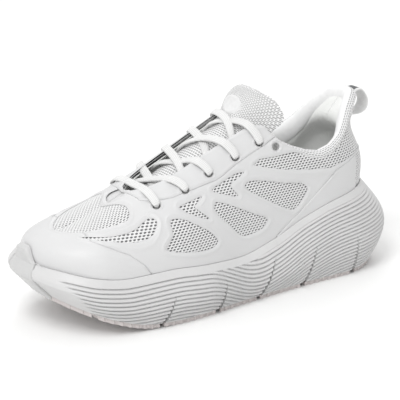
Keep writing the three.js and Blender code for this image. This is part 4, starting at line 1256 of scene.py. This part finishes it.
def make_all_knit():
    holes = ["throat", "above_rim", "eyelet"]
    for word, side in (("lateral", -1.0), ("medial", 1.0)):
        skin = skin_part(side, lambda p, f: p[..., 0] - VAMP_EDGE, holes)
        make_knit(f"quarter_knit_{word}", f"quarter_mesh_{word}", [side_cells(side, True)], [skin])
    skins = [skin_part(side, lambda p, f: VAMP_EDGE - p[..., 0], holes) for side in (-1.0, 1.0)]
    make_knit("vamp_knit", "vamp_mesh", [vamp_cells()] + [side_cells(side, False) for side in (-1.0, 1.0)],
              skins)


make_all_knit()

# %% [markdown]
# Inside the heel the collar is padded: foam between the knit and a brushed lining. Its rim is rolled, so the
# edge is one soft tube that grows out of the padding; the line of stitches below it is not drawn.

# %% Collar, lining and insole


def rim_height(x):
    """Height of the collar's edge at a place along the shoe: straight between the pattern's points."""
    px, pz = np.array(COLLAR_RIM, float).T
    return np.interp(x, px, pz)


def inward(t, v, side):
    """Direction into the shoe: the surface's own normal in front, and level towards the heel's axis behind."""
    at = last(t, v, side)
    normal = facing(last, t, v, side)
    axis_x = np.minimum(at[..., 0], HEEL_AXIS)
    level = np.stack([at[..., 0] - axis_x, at[..., 1] - centre_line(axis_x), 0 * axis_x], -1)
    reach = np.linalg.norm(level, axis=-1, keepdims=True)
    back = smoothstep(at[..., 0], 200, 232)[..., None]
    blended = normal * (1 - back) + level / np.maximum(reach, 1e-6) * back
    return at, -blended / np.linalg.norm(blended, axis=-1, keepdims=True)


def inside_last(t, v, side, depth):
    """A point of the upper moved into the shoe by a depth."""
    at, direction = inward(t, v, np.broadcast_to(float(side), t.shape))
    return at + direction * np.broadcast_to(depth, t.shape)[..., None]


def padding_at(points):
    """Thickness of the padding: full under the rim, none at its foot or ahead of the throat."""
    below = np.clip((rim_height(points[..., 0]) - points[..., 2]) / COLLAR_PAD_HEIGHT, 0, 1)
    back = smoothstep(points[..., 0], 186, 206)
    tucked = 0.4 + 0.6 * smoothstep(below * COLLAR_PAD_HEIGHT, 2, 13)
    return COLLAR_PADDING * back * tucked * (1 - smoothstep(below, 0.4, 1))


def footbed(x):
    """Height of the footbed in the cup: 14 mm under the sole's edge at the toe and 26 mm at the heel."""
    return curve(x, SOLE_TOP) - 14 - 12 * smoothstep(x / SOLE_LENGTH, 0.45, 0.75)


def cloth_material(name, light, dark, scale, strength):
    """Brushed cloth: a soft colour change, strong sheen and a fine crossed weave."""
    material, tree, shader = new_material(name, light, 0.92, Sheen_Weight=0.35, Sheen_Roughness=0.6)
    where = object_coordinates(tree)
    link(tree, ramp(tree, add_noise(tree, where, 60), [(0.3, dark), (0.7, light)]),
         shader.inputs["Base Color"])
    heights = []
    for direction in ("X", "Z"):
        wave = tree.nodes.new("ShaderNodeTexWave")
        wave.bands_direction = direction
        wave.inputs["Scale"].default_value = scale
        link(tree, where, wave.inputs["Vector"])
        heights.append(wave.outputs["Fac"])
    add = tree.nodes.new("ShaderNodeMath")
    link(tree, heights[0], add.inputs[0])
    link(tree, heights[1], add.inputs[1])
    bump(tree, shader, add.outputs[0], strength, 0.0002)
    return material


def patched_knit(name, plain):
    """Knit cloth drawn in the piece's own millimetres: rows of small dark holes, and a plain tone where patch is 1."""
    material, tree, shader = new_material(name, (0.76, 0.76, 0.76), 0.82, Sheen_Weight=0.3,
                                          Sheen_Roughness=0.5)
    where = object_coordinates(tree)
    uv = tree.nodes.new("ShaderNodeUVMap")
    brick = tree.nodes.new("ShaderNodeTexBrick")
    brick.inputs["Scale"].default_value = 1.0
    brick.inputs["Brick Width"].default_value = 2.6
    brick.inputs["Row Height"].default_value = 1.6
    brick.inputs["Mortar Size"].default_value = 0.42
    brick.inputs["Mortar Smooth"].default_value = 0.6
    brick.inputs["Color1"].default_value = (0.34, 0.34, 0.34, 1)
    brick.inputs["Color2"].default_value = (0.42, 0.42, 0.42, 1)
    brick.inputs["Mortar"].default_value = (0.84, 0.84, 0.84, 1)
    link(tree, uv.outputs["UV"], brick.inputs["Vector"])
    shade = tree.nodes.new("ShaderNodeAttribute")
    shade.attribute_name = "patch"
    mix = tree.nodes.new("ShaderNodeMix")
    mix.data_type = "RGBA"
    link(tree, shade.outputs["Fac"], mix.inputs["Factor"])
    link(tree, brick.outputs["Color"], mix.inputs[6])
    link(tree, ramp(tree, add_noise(tree, where, 300), [(0.3, plain - 0.03), (0.7, plain + 0.02)]),
         mix.inputs[7])
    link(tree, mix.outputs[2], shader.inputs["Base Color"])
    bump(tree, shader, mix.outputs[2], 0.5, 0.0006)
    return material


COLLAR_KNIT = patched_knit("collar_knit", 0.82)
LINING = cloth_material("lining_cloth", (0.86, 0.865, 0.85), (0.8, 0.81, 0.79), 420, 0.5)
SOCK_FABRIC = cloth_material("sock_cloth", (0.66, 0.67, 0.655), (0.6, 0.61, 0.6), 380, 0.5)


def make_lining():
    """A closed sheet behind the padding, from both sides."""
    parts = []
    for side in (-1.0, 1.0):
        uv, triangles = upper_grid(side, 170, 70)
        place = on_sides(uv, side)
        found = fields(place, side)
        keep = np.minimum.reduce([-found["throat"] - 0.6,
                                  -found["above_rim"] - LINING_TOP * smoothstep(place[:, 0], 194, 214) - 1.2,
                                  -found["eyelet"]])
        uv, triangles = keep_inside(uv, triangles, keep)
        depth = 2.9 + padding_at(on_sides(uv, side))
        parts.append(closed_sheet(uv, triangles, side, depth, depth + 0.8, place=inside_last))
    points, faces = join_parts(parts)
    finish_piece(make_mesh("lining_skin", points, faces), LINING, replaces=["lining"])


LINING_TOP = 1.5
ROLL_START = 188.0
# The roll's section at the heel: depth into the shoe and height over the rim.
ROLL_SECTION = [(0.1, -2.6), (-0.4, -0.6), (0.5, 1.5), (3.4, 2.9), (7.0, 2.2), (9.5, -0.9), (10.5, -5.5),
                (10.0, -10.5),
                (7.6, -14.5), (5.2, -16.0), (2.6, -13.5), (1.7, -8.0), (1.6, -3.6)]


def rim_station(side, count):
    """(t, v) of evenly spaced stations along the collar's edge, by repeated correction of v for its height."""
    t = np.linspace(0, 1, 400)
    v = np.full_like(t, 0.6)
    for _ in range(60):
        at = last(t, v, np.full_like(t, side))
        v = np.clip(v + (rim_height(at[:, 0]) - at[:, 2]) * 0.004, 0.05, 0.995)
    t0 = np.interp(ROLL_START, at[150:, 0], t[150:])
    wanted = np.linspace(t0, 1, count)
    return wanted, np.interp(wanted, t, v)


def make_collar():
    """The padding and its rolled rim: one closed section carried along the collar's edge, fat at the back."""
    rows = []
    for side in (-1.0, 1.0):
        t, v = rim_station(side, 110)
        edge, direction = inward(t, v, np.full_like(t, side))
        rows.append((edge, direction))
    (edge_a, in_a), (edge_b, in_b) = rows
    edge = np.concatenate([edge_a, edge_b[-2::-1]])
    into = np.concatenate([in_a, in_b[-2::-1]])
    into = smooth_along(into, 10)
    section = closed_spline(ROLL_SECTION, 4)
    full = smoothstep(edge[:, 0], 190, 214)[:, None]
    depth = section[None, :, 0] * (0.32 + 0.68 * full)
    rise = section[None, :, 1] * (0.35 + 0.65 * full)
    points = edge[:, None] + into[:, None] * depth[..., None] + np.array([0, 0, 1]) * rise[..., None]
    count = len(section)
    faces = grid_faces(len(edge), count, closed=True)
    ends = [points[0].mean(0), points[-1].mean(0)]
    total = len(edge) * count
    k = np.arange(count)
    caps = np.concatenate([np.stack([(k + 1) % count, k, 0 * k + total], 1),
                           np.stack([k, (k + 1) % count, 0 * k + total + 1],
                                    1) + [total - count, total - count, 0]])
    points = np.concatenate([points.reshape(-1, 3), ends])
    length = np.concatenate([[0], np.cumsum(np.linalg.norm(np.diff(edge, axis=0), axis=1))])
    girth = np.concatenate([[0], np.cumsum(np.linalg.norm(np.diff(section, axis=0), axis=1))])
    uv = np.stack(np.broadcast_arrays(length[:, None], girth[None, :]), -1).reshape(-1, 2)
    plain = np.tile(smoothstep(section[:, 0], 3.6, 4.4) + (section[:, 1] < -3.2) * (section[:, 0] > 2.2),
                    len(edge))
    piece = make_mesh("collar_roll", points, [faces, caps],
                      uv=np.concatenate([uv, [[0, 0], [length[-1], 0]]]))
    add_point_values(piece, "patch", np.concatenate([np.clip(plain, 0, 1), [1, 1]]))
    finish_piece(piece, COLLAR_KNIT, replaces=["collar_padding"])


def make_board(name, node, low, high, material, margin, roundness):
    """A flat board cut to the inside of the upper: rows go in from the edge, whose side is rounded."""
    count = 160
    halves = []
    for side in (-1.0, 1.0):
        t = np.linspace(0, 1, count)
        edge = on_last(t, 0.0, side, -margin)
        rings = []
        for share, height, inset in ((0, low, 0), (1, low, 0), (1, low, 0.3), (1, (low + high) / 2, 0),
                                     (1, high - roundness, 0.1),
                                     (1, high - roundness * 0.3, 0.5), (1, high, roundness * 0.8),
                                     (0.66, high, 1),
                                     (0.33, high, 1), (0, high, 1)):
            middle = centre_line(edge[:, 0])
            ring = edge.copy()
            width = np.maximum(np.abs(edge[:, 1] - middle) - inset, 0)
            ring[:, 1] = middle + side * width * share
            pull = np.clip(np.abs(edge[:, 0] - 150) - 100, 0, 50) / 50 * inset
            ring[:, 0] += np.where(edge[:, 0] < 150, pull, -pull)
            ring[:, 2] = footbed(edge[:, 0]) + height
            rings.append(ring)
        halves.append(np.array(rings))
    lateral, medial = halves
    for ends in (0, -1):
        middle = (lateral[:, ends] + medial[:, ends]) / 2
        lateral[:, ends] = medial[:, ends] = middle
    medial[0], medial[-1] = lateral[0], lateral[-1]
    loop = np.concatenate([lateral, medial[:, -2:0:-1]], 1)
    points, faces = merge_quads(loop.reshape(-1, 3), grid_faces(*loop.shape[:2], closed=True))
    piece = make_mesh(name, points, faces)
    finish_piece(piece, material, replaces=[node])


make_lining()
make_collar()
make_board("insole", "sockliner", 2.2, 6.6, SOCK_FABRIC, 4.9, 1.5)
make_board("last_board", "strobel_board", 0.3, 1.9, BOARD, 4.9, 0.4)

# %% [markdown]
# The tongue is a padded strap of the same knit, thicker in the middle and thin at its edges. Its free end
# stands up over the instep on a fold line, shaped in place, and the piece has no body of its own. A plain
# oval patch is pressed into its front.

# %% Tongue
TONGUE_HINGE = (180, 131)
TONGUE_DEPTH = 9.6
TONGUE_PAD = 5.0
TONGUE_TOP = [(186, 141), (188, 148)]
TONGUE_HALF = {-1: [(0, 19), (0.3, 24.5), (0.64, 25), (0.76, 27.5), (0.87, 23), (0.95, 14.5), (0.985, 8),
                    (1, 3)],
               1: [(0, 15), (0.3, 21), (0.55, 25.5), (0.68, 26.5), (0.78, 21.5), (0.87, 15.5), (0.95, 9.5),
                   (1, 3)]}
TONGUE_SAG = {-1: [(0, 11), (0.4, 18), (0.66, 29), (1, 18)],
              1: [(0, 9), (0.4, 10), (0.55, 10), (0.68, 7), (0.82, 3), (1, 1)]}
# The badge: its middle as (share along the tongue, millimetres across), and half its length and width.
TONGUE_LENGTH = 128.0
BADGE_PLACE = (0.7, 6.0)
BADGE_HALF = (12.5, 12.0)
TONGUE_SPREAD = 30.0


def open_spline(points, count):
    """Points along a centripetal Catmull-Rom spline through all the given points, evenly counted per span."""
    p = np.array(points, float)
    p = np.concatenate([[2 * p[0] - p[1]], p, [2 * p[-1] - p[-2]]])
    knots = np.concatenate([[0], np.cumsum(np.sqrt(np.linalg.norm(np.diff(p, axis=0), axis=1)) + 1e-9)])
    share = np.linspace(0, len(p) - 3, count)
    i = np.minimum(share.astype(int), len(p) - 4)
    k0, k1, k2, k3 = (knots[i + j][:, None] for j in range(4))
    u = k1 + (k2 - k1) * (share - i)[:, None]
    a = [(knots[i + j + 1][:, None] - u) / (knots[i + j + 1] - knots[i + j])[:, None] * p[i + j]
         + (u - knots[i + j][:, None]) / (knots[i + j + 1] - knots[i + j])[:, None] * p[i + j + 1] for j in range(3)]
    b0 = (k2 - u) / (k2 - k0) * a[0] + (u - k0) / (k2 - k0) * a[1]
    b1 = (k3 - u) / (k3 - k1) * a[1] + (u - k1) / (k3 - k1) * a[2]
    return (k2 - u) / (k2 - k1) * b0 + (u - k1) / (k2 - k1) * b1


def tongue_path():
    """The tongue's middle line: under the spine as far as the throat's end, then up to its tip."""
    x = np.array([97.0, 122, 148, 170])
    under = np.stack([x, 0 * x, curve(x, SPINE) - TONGUE_DEPTH], 1)
    rest = [(px, 0, pz) for px, pz in [TONGUE_HINGE] + TONGUE_TOP]
    return open_spline(np.concatenate([under, rest]), 400)


def make_tongue():
    """Rows along the middle line and columns round the section, which is full in the middle and thin at the edges."""
    line = tongue_path()
    rows, columns = 130, 60
    s = np.linspace(0, 1, rows)
    centre = np.stack([np.interp(s, np.linspace(0, 1, len(line)), line[:, k]) for k in range(3)], 1)
    tangent = np.gradient(centre, axis=0)
    tangent /= np.linalg.norm(tangent, axis=1, keepdims=True)
    out = np.stack([-tangent[:, 2], 0 * s, tangent[:, 0]], 1)
    w = np.sin(np.linspace(-np.pi / 2, np.pi / 2, columns))
    faces_out = []
    for layer_share in (0, 1):
        y, sag = np.zeros((rows, columns)), np.zeros((rows, columns))
        for hand in (-1, 1):
            here = (w < 0) if hand < 0 else (w >= 0)
            half = curve(s, TONGUE_HALF[hand], 1)[:, None]
            y[:, here] = (w[None, here] * half)
            sag[:, here] = curve(s, TONGUE_SAG[hand], 1)[:, None] * np.abs(y[:, here] / TONGUE_SPREAD) ** 2.1
        free = smoothstep(s, 0.66, 0.8)[:, None]
        taper = np.sqrt(np.clip(1 - np.abs(w) ** 6, 0, 1))[None, :]
        closing = np.sqrt(np.clip(1 - ((s - 0.5) * 2) ** 30, 0, 1))[:, None]
        puff = 0.5 * free * (1 - np.abs(w[None, :]) ** 2) * closing
        depth = TONGUE_PAD / 2 + (layer_share - 0.5) * TONGUE_PAD * (taper * closing + puff * 0.6)
        faces_out.append(centre[:, None] + [0, 1, 0] * y[...,
                                                         None] + out[:, None] * (-sag - depth)[..., None])
    upper, lower = faces_out
    down = ((s - BADGE_PLACE[0]) * TONGUE_LENGTH)[:, None] / BADGE_HALF[0]
    radial = np.sqrt(down ** 2 + ((upper[..., 1] - BADGE_PLACE[1]) / BADGE_HALF[1]) ** 2)
    patch = 0.7 * (1 - smoothstep(radial, 0.93, 1.03)) + 0.35 * ridge(radial - 0.8, 0.06)
    upper = upper + out[:, None] * patch[..., None]
    loop = np.concatenate([upper, lower[:, ::-1]], 1)
    points, faces = merge_quads(loop.reshape(-1, 3), grid_faces(rows, loop.shape[1], closed=True)[:, ::-1])
    shade = (radial < 1.03).astype(float)
    shade = np.concatenate([shade, 0 * shade], 1)
    uv = np.stack(np.broadcast_arrays(np.concatenate([upper[..., 1], lower[:, ::-1, 1]], 1),
                                      (s * TONGUE_LENGTH)[:, None]), -1)
    return points, faces, shade, uv, loop


TONGUE_KNIT = patched_knit("tongue_knit", 0.7)


def add_tongue():
    points, faces, shade, uv, loop = make_tongue()
    key = np.round(loop.reshape(-1, 3) / 1e-4).astype(np.int64)
    _, first = np.unique(key, axis=0, return_index=True)
    piece = make_mesh("tongue", points, faces, uv=uv.reshape(-1, 2)[first])
    add_point_values(piece, "patch", shade.reshape(-1)[first])
    finish_piece(piece, TONGUE_KNIT, body=None, replaces=["tongue_base", "tongue_flap"])
    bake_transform(piece)


add_tongue()

# %% [markdown]
# One flat woven lace crosses the tongue: a bar over the front row, then two halves that dive through each
# hole, run under the stay, cross over the tongue and lie on the other side. It is held all the way by holes
# and stays, so it is a ribbon swept along that route: a flat oval section, turned to lie on the shoe.

# %% Lace
LACE_WIDTH = 6.4
LACE_THICKNESS = 2.1
LACED_ROWS = 5
LACE_UNDER = -5.4


def lace_half(first_side):
    """Route of one half from the front row up: points, outward directions and widths."""
    points, normals, widths = [], [], []

    def spot(t, v, side, offset, width):
        t, v, hand = np.array(t), np.array(min(v, 1.0)), np.array(float(side))
        normal = facing(last, t, v, hand)
        if v > 0.96:
            normal = normal * [1, 0.0, 1]
        normal = normal / np.linalg.norm(normal)
        points.append(last(t, v, hand) + normal * offset)
        normals.append(normal)
        widths.append(width)

    side = first_side
    for row in range(LACED_ROWS):
        t, v = EYELETS[row]
        for offset, width in ((2.5, 0.85), (0.2, 0.5), (-2.6, 0.5)):
            spot(t, v, side, offset, width)
        if row == LACED_ROWS - 1:
            break
        next_t, next_v = EYELETS[row + 1]
        crossing = (t + next_t) / 2
        share = 0.4 if side < 0 else 0.58
        spot(t + (crossing - t) * 0.45, v + (1 - v) * share, side, LACE_UNDER + 0.6, 0.8)
        over_first = first_side > 0
        spot(crossing, 1.0, 1, -8.0 if not over_first else -5.6, 1.0)
        spot(next_t + (crossing - next_t) * 0.4, next_v + (1 - next_v) * 0.36, -side, 2.4, 1.0)
        spot(next_t + (crossing - next_t) * 0.14, next_v + (1 - next_v) * 0.16, -side, 3.0, 1.0)
        side = -side
    end = last(np.array(t), np.array(v), np.array(float(side)))
    for dx, dy, dz in ((4, 0.6, -10), (9, 2.4, -19)):
        points.append(end + [dx, side * dy - side * 4, dz])
        normals.append(normals[-1])
        widths.append(0.7)
    return points, normals, widths


def lace_route():
    """The whole lace: one half backwards, the bar over the front row, then the other half."""
    first, second = lace_half(-1), lace_half(1)
    t, v = EYELETS[0]
    bar = []
    for hand, share, offset in ((-1, 0.3, 3.0), (-1, 0.65, 0.6), (-1, 1.0, -1.4), (1, 0.65, 0.6),
                                (1, 0.3, 3.0)):
        height = min(v + (1 - v) * share, 1.0)
        at = [np.array(q) for q in (t, height, float(hand))]
        normal = facing(last, *at)
        bar.append((last(*at) + normal * offset, normal, 1.0))
    parts = [list(reversed(column)) for column in first]
    for k in range(3):
        parts[k] += [row[k] for row in bar] + list(second[k])
    return np.array(parts[0]), np.array(parts[1]), np.array(parts[2])


def make_lace():
    """Sweep a flat oval along the route: width lies across the run and in the surface, thickness along its normal."""
    points, normals, widths = lace_route()
    count = 1400
    line = open_spline(points, count)
    share = np.linspace(0, len(points) - 1, count)
    normal = np.stack([np.interp(share, np.arange(len(points)), normals[:, k]) for k in range(3)], 1)
    width = smooth_along(np.interp(share, np.arange(len(points)), widths), 25)
    tangent = np.gradient(line, axis=0)
    tangent /= np.maximum(np.linalg.norm(tangent, axis=1, keepdims=True), 1e-9)
    across = np.cross(tangent, normal)
    size = np.linalg.norm(across, axis=1)
    across /= np.maximum(size, 1e-9)[:, None]
    start = count // 2
    for k in list(range(start + 1, count)) + list(range(start - 1, -1, -1)):
        before = k - 1 if k > start else k + 1
        if across[k] @ across[before] < 0:
            across[k] = -across[k]
        weight = min(size[k] * 2, 1)
        mixed = across[k] * weight + across[before] * (1.02 - weight)
        mixed -= tangent[k] * (mixed @ tangent[k])
        across[k] = mixed / np.linalg.norm(mixed)
    across = smooth_along(across, 12)
    across -= tangent * (across * tangent).sum(1, keepdims=True)
    across /= np.linalg.norm(across, axis=1, keepdims=True)
    up = np.cross(across, tangent)
    angle = np.linspace(0, 2 * np.pi, 18, endpoint=False)
    c, sn = np.cos(angle), np.sin(angle)
    flat = np.sign(c) * np.abs(c) ** 0.75
    tall = np.sign(sn) * np.abs(sn) ** 0.9
    thick = LACE_THICKNESS / 2 * (1 + 0.5 * (1 - width))
    ring = (line[:, None] + across[:, None] * (flat * LACE_WIDTH / 2)[None, :, None] * width[:, None, None]
            + up[:, None] * (tall[None, :] * thick[:, None])[..., None])
    sides = len(angle)
    faces = grid_faces(count, sides, closed=True)
    k = np.arange(sides)
    total = count * sides
    caps = np.concatenate([np.stack([k, (k + 1) % sides, 0 * k + total], 1),
                           np.stack([(k + 1) % sides + total - sides, k + total - sides, 0 * k + total + 1],
                                    1)])
    length = np.concatenate([[0], np.cumsum(np.linalg.norm(np.diff(line, axis=0), axis=1))])
    uv = np.stack(np.broadcast_arrays(length[:, None], (flat * LACE_WIDTH / 2)[None, :]), -1).reshape(-1, 2)
    uv = np.concatenate([uv, [[0, 0], [length[-1], 0]]])
    points = np.concatenate([ring.reshape(-1, 3), line[:1], line[-1:]])
    piece = make_mesh("lace_ribbon", points, [faces[:, ::-1], caps[:, ::-1]], uv=uv)
    print("lace length, mm:", round(float(length[-1])))
    return finish_piece(piece, LACE_CORD, replaces=["lace"])


def woven_material(name, colour, rib, across, stripe=None):
    """Webbing and laces: crossed waves on the piece's own UV in millimetres, as a tight flat weave."""
    material, tree, shader = new_material(name, colour, 0.85, Sheen_Weight=0.3, Sheen_Roughness=0.5)
    uv = tree.nodes.new("ShaderNodeUVMap")
    split = tree.nodes.new("ShaderNodeSeparateXYZ")
    link(tree, uv.outputs["UV"], split.inputs[0])

    def sine(socket, pitch, shift=None):
        scale = tree.nodes.new("ShaderNodeMath")
        scale.operation = "MULTIPLY"
        scale.inputs[1].default_value = 2 * math.pi / pitch
        link(tree, socket, scale.inputs[0])
        source = scale.outputs[0]
        if shift:
            plus = tree.nodes.new("ShaderNodeMath")
            link(tree, source, plus.inputs[0])
            link(tree, shift, plus.inputs[1])
            source = plus.outputs[0]
        node = tree.nodes.new("ShaderNodeMath")
        node.operation = "SINE"
        link(tree, source, node.inputs[0])
        return node.outputs[0]

    warp = sine(split.outputs["Y"], across)
    weft = sine(split.outputs["X"], rib, warp)
    total = tree.nodes.new("ShaderNodeMath")
    link(tree, warp, total.inputs[0])
    link(tree, weft, total.inputs[1])
    dark = tuple(channel * 0.8 for channel in colour)
    half = tree.nodes.new("ShaderNodeMapRange")
    half.inputs["From Min"].default_value = -2
    half.inputs["From Max"].default_value = 2
    link(tree, total.outputs[0], half.inputs["Value"])
    yarn = ramp(tree, half.outputs[0], [(0.15, dark), (0.55, colour)])
    if stripe:
        distance = tree.nodes.new("ShaderNodeMath")
        distance.operation = "ABSOLUTE"
        link(tree, split.outputs["Y"], distance.inputs[0])
        limit = tree.nodes.new("ShaderNodeMath")
        limit.operation = "LESS_THAN"
        limit.inputs[1].default_value = stripe[0]
        link(tree, distance.outputs[0], limit.inputs[0])
        outer = tree.nodes.new("ShaderNodeAttribute")
        outer.attribute_name = "outer_face"
        both = tree.nodes.new("ShaderNodeMath")
        both.operation = "MULTIPLY"
        link(tree, limit.outputs[0], both.inputs[0])
        link(tree, outer.outputs["Fac"], both.inputs[1])
        mix = tree.nodes.new("ShaderNodeMix")
        mix.data_type = "RGBA"
        mix.inputs[7].default_value = (*stripe[1], 1)
        link(tree, both.outputs[0], mix.inputs["Factor"])
        link(tree, yarn, mix.inputs[6])
        yarn = mix.outputs[2]
    link(tree, yarn, shader.inputs["Base Color"])
    bump(tree, shader, half.outputs[0], 0.6, 0.0004)
    return material


LACE_CORD = woven_material("lace_weave", (0.76, 0.76, 0.755), 1.1, 1.3)
make_lace()

# %% [markdown]
# The heel loop is a strap of webbing folded back on itself and sewn to the heel at both ends. A short dark
# stripe is woven into its outer face near the upper root. The strap is a rounded flat section carried round the
# loop, in the heel loop's body.

# %% Heel loop
TAB_WIDTH = 14.0
TAB_THICKNESS = 1.6
TAB_HEIGHT = 118.0
STRIPE_SPAN = (2.0, 15.0)
# The loop from its upper root round to its lower one: reach behind the heel and rise over the loop's middle.
LOOP_SHAPE = [(6.2, 5.5), (7.7, 8), (10.7, 10.4), (14.5, 10.4), (18.5, 6), (20.5, -0.8), (18, -6), (12, -8),
              (5, -7.6), (0.2, -6.8)]
WEBBING = woven_material("webbing", (0.76, 0.76, 0.755), 1.2, 1.0, stripe=(4.8, (0.06, 0.065, 0.07)))


def make_heel_loop():
    """Carry the strap's section round a D: out from the heel at the top, round, and back in lower down."""
    root = tab_start_x()
    loop = [(root + reach, TAB_HEIGHT + rise) for reach, rise in LOOP_SHAPE]
    line = open_spline([(x, 0, z) for x, z in loop], 120)
    tangent = np.gradient(line, axis=0)
    tangent /= np.linalg.norm(tangent, axis=1, keepdims=True)
    out = np.stack([-tangent[:, 2], 0 * line[:, 0], tangent[:, 0]], 1)
    angle = np.linspace(0, 2 * np.pi, 28, endpoint=False)
    c, sn = np.cos(angle), np.sin(angle)
    flat = np.sign(c) * np.abs(c) ** 0.35 * TAB_WIDTH / 2
    tall = np.sign(sn) * np.abs(sn) ** 0.6 * TAB_THICKNESS / 2
    ring = line[:, None] + np.array([0, 1, 0]) * flat[None, :, None] + out[:, None] * tall[None, :, None]
    sides, count = len(angle), len(line)
    k = np.arange(sides)
    total = count * sides
    caps = np.concatenate([np.stack([k, (k + 1) % sides, 0 * k + total], 1),
                           np.stack([(k + 1) % sides + total - sides, k + total - sides, 0 * k + total + 1],
                                    1)])
    length = np.concatenate([[0], np.cumsum(np.linalg.norm(np.diff(line, axis=0), axis=1))])
    uv = np.stack(np.broadcast_arrays(length[:, None], flat[None, :]), -1).reshape(-1, 2)
    uv = np.concatenate([uv, [[0, 0], [length[-1], 0]]])
    points = np.concatenate([ring.reshape(-1, 3), line[:1], line[-1:]])
    piece = make_mesh("heel_loop_strap", points,
                      [grid_faces(count, sides, closed=True)[:, ::-1], caps[:, ::-1]], uv=uv)
    striped = (length > STRIPE_SPAN[0]) & (length < STRIPE_SPAN[1])
    add_point_values(piece, "outer_face", np.concatenate([(striped[:, None] & (sn > -0.01)[None, :]).ravel(), [0, 0]]))
    finish_piece(piece, WEBBING, body="heel_loop", replaces=["pull_tab"])


def tab_start_x():
    """Where the loop's ends lie, in x from the toe: the lowest x of its CAD node."""
    return (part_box("pull_tab")[0][0] - SHIFT[0]) / MM


make_heel_loop()

# %% [markdown]
# Two stiffeners hide between the knit and the lining: a moulded counter that cups the heel and a puff that
# holds the toe up. They are thin shells of the same block.

# %% Stiffeners
COUNTER_OUTLINE = [(226, 20), (340, 20), (340, 104), (270, 100), (246, 84), (226, 60)]
PUFF_OUTLINE = [(-20, 20), (50, 20), (40, 58), (34, 90), (-20, 90)]


def make_stiffener(name, node, outline):
    parts = []
    for side in (-1.0, 1.0):
        uv, triangles = upper_grid(side, 120, 50)
        points = on_sides(uv, side)
        found = signed_distance(points[:, [0, 2]], np.array(outline, float))
        uv, triangles = keep_inside(uv, triangles, found)
        parts.append(closed_sheet(uv, triangles, side, -1.55, -2.4))
    points, faces = join_parts(parts)
    finish_piece(make_mesh(name, points, faces), STIFFENER, replaces=[node])


make_stiffener("heel_cup", "heel_counter", COUNTER_OUTLINE)
make_stiffener("toe_stiffener", "toe_puff", PUFF_OUTLINE)

print("pieces made:", len(made), "triangles:", sum(made.values()))
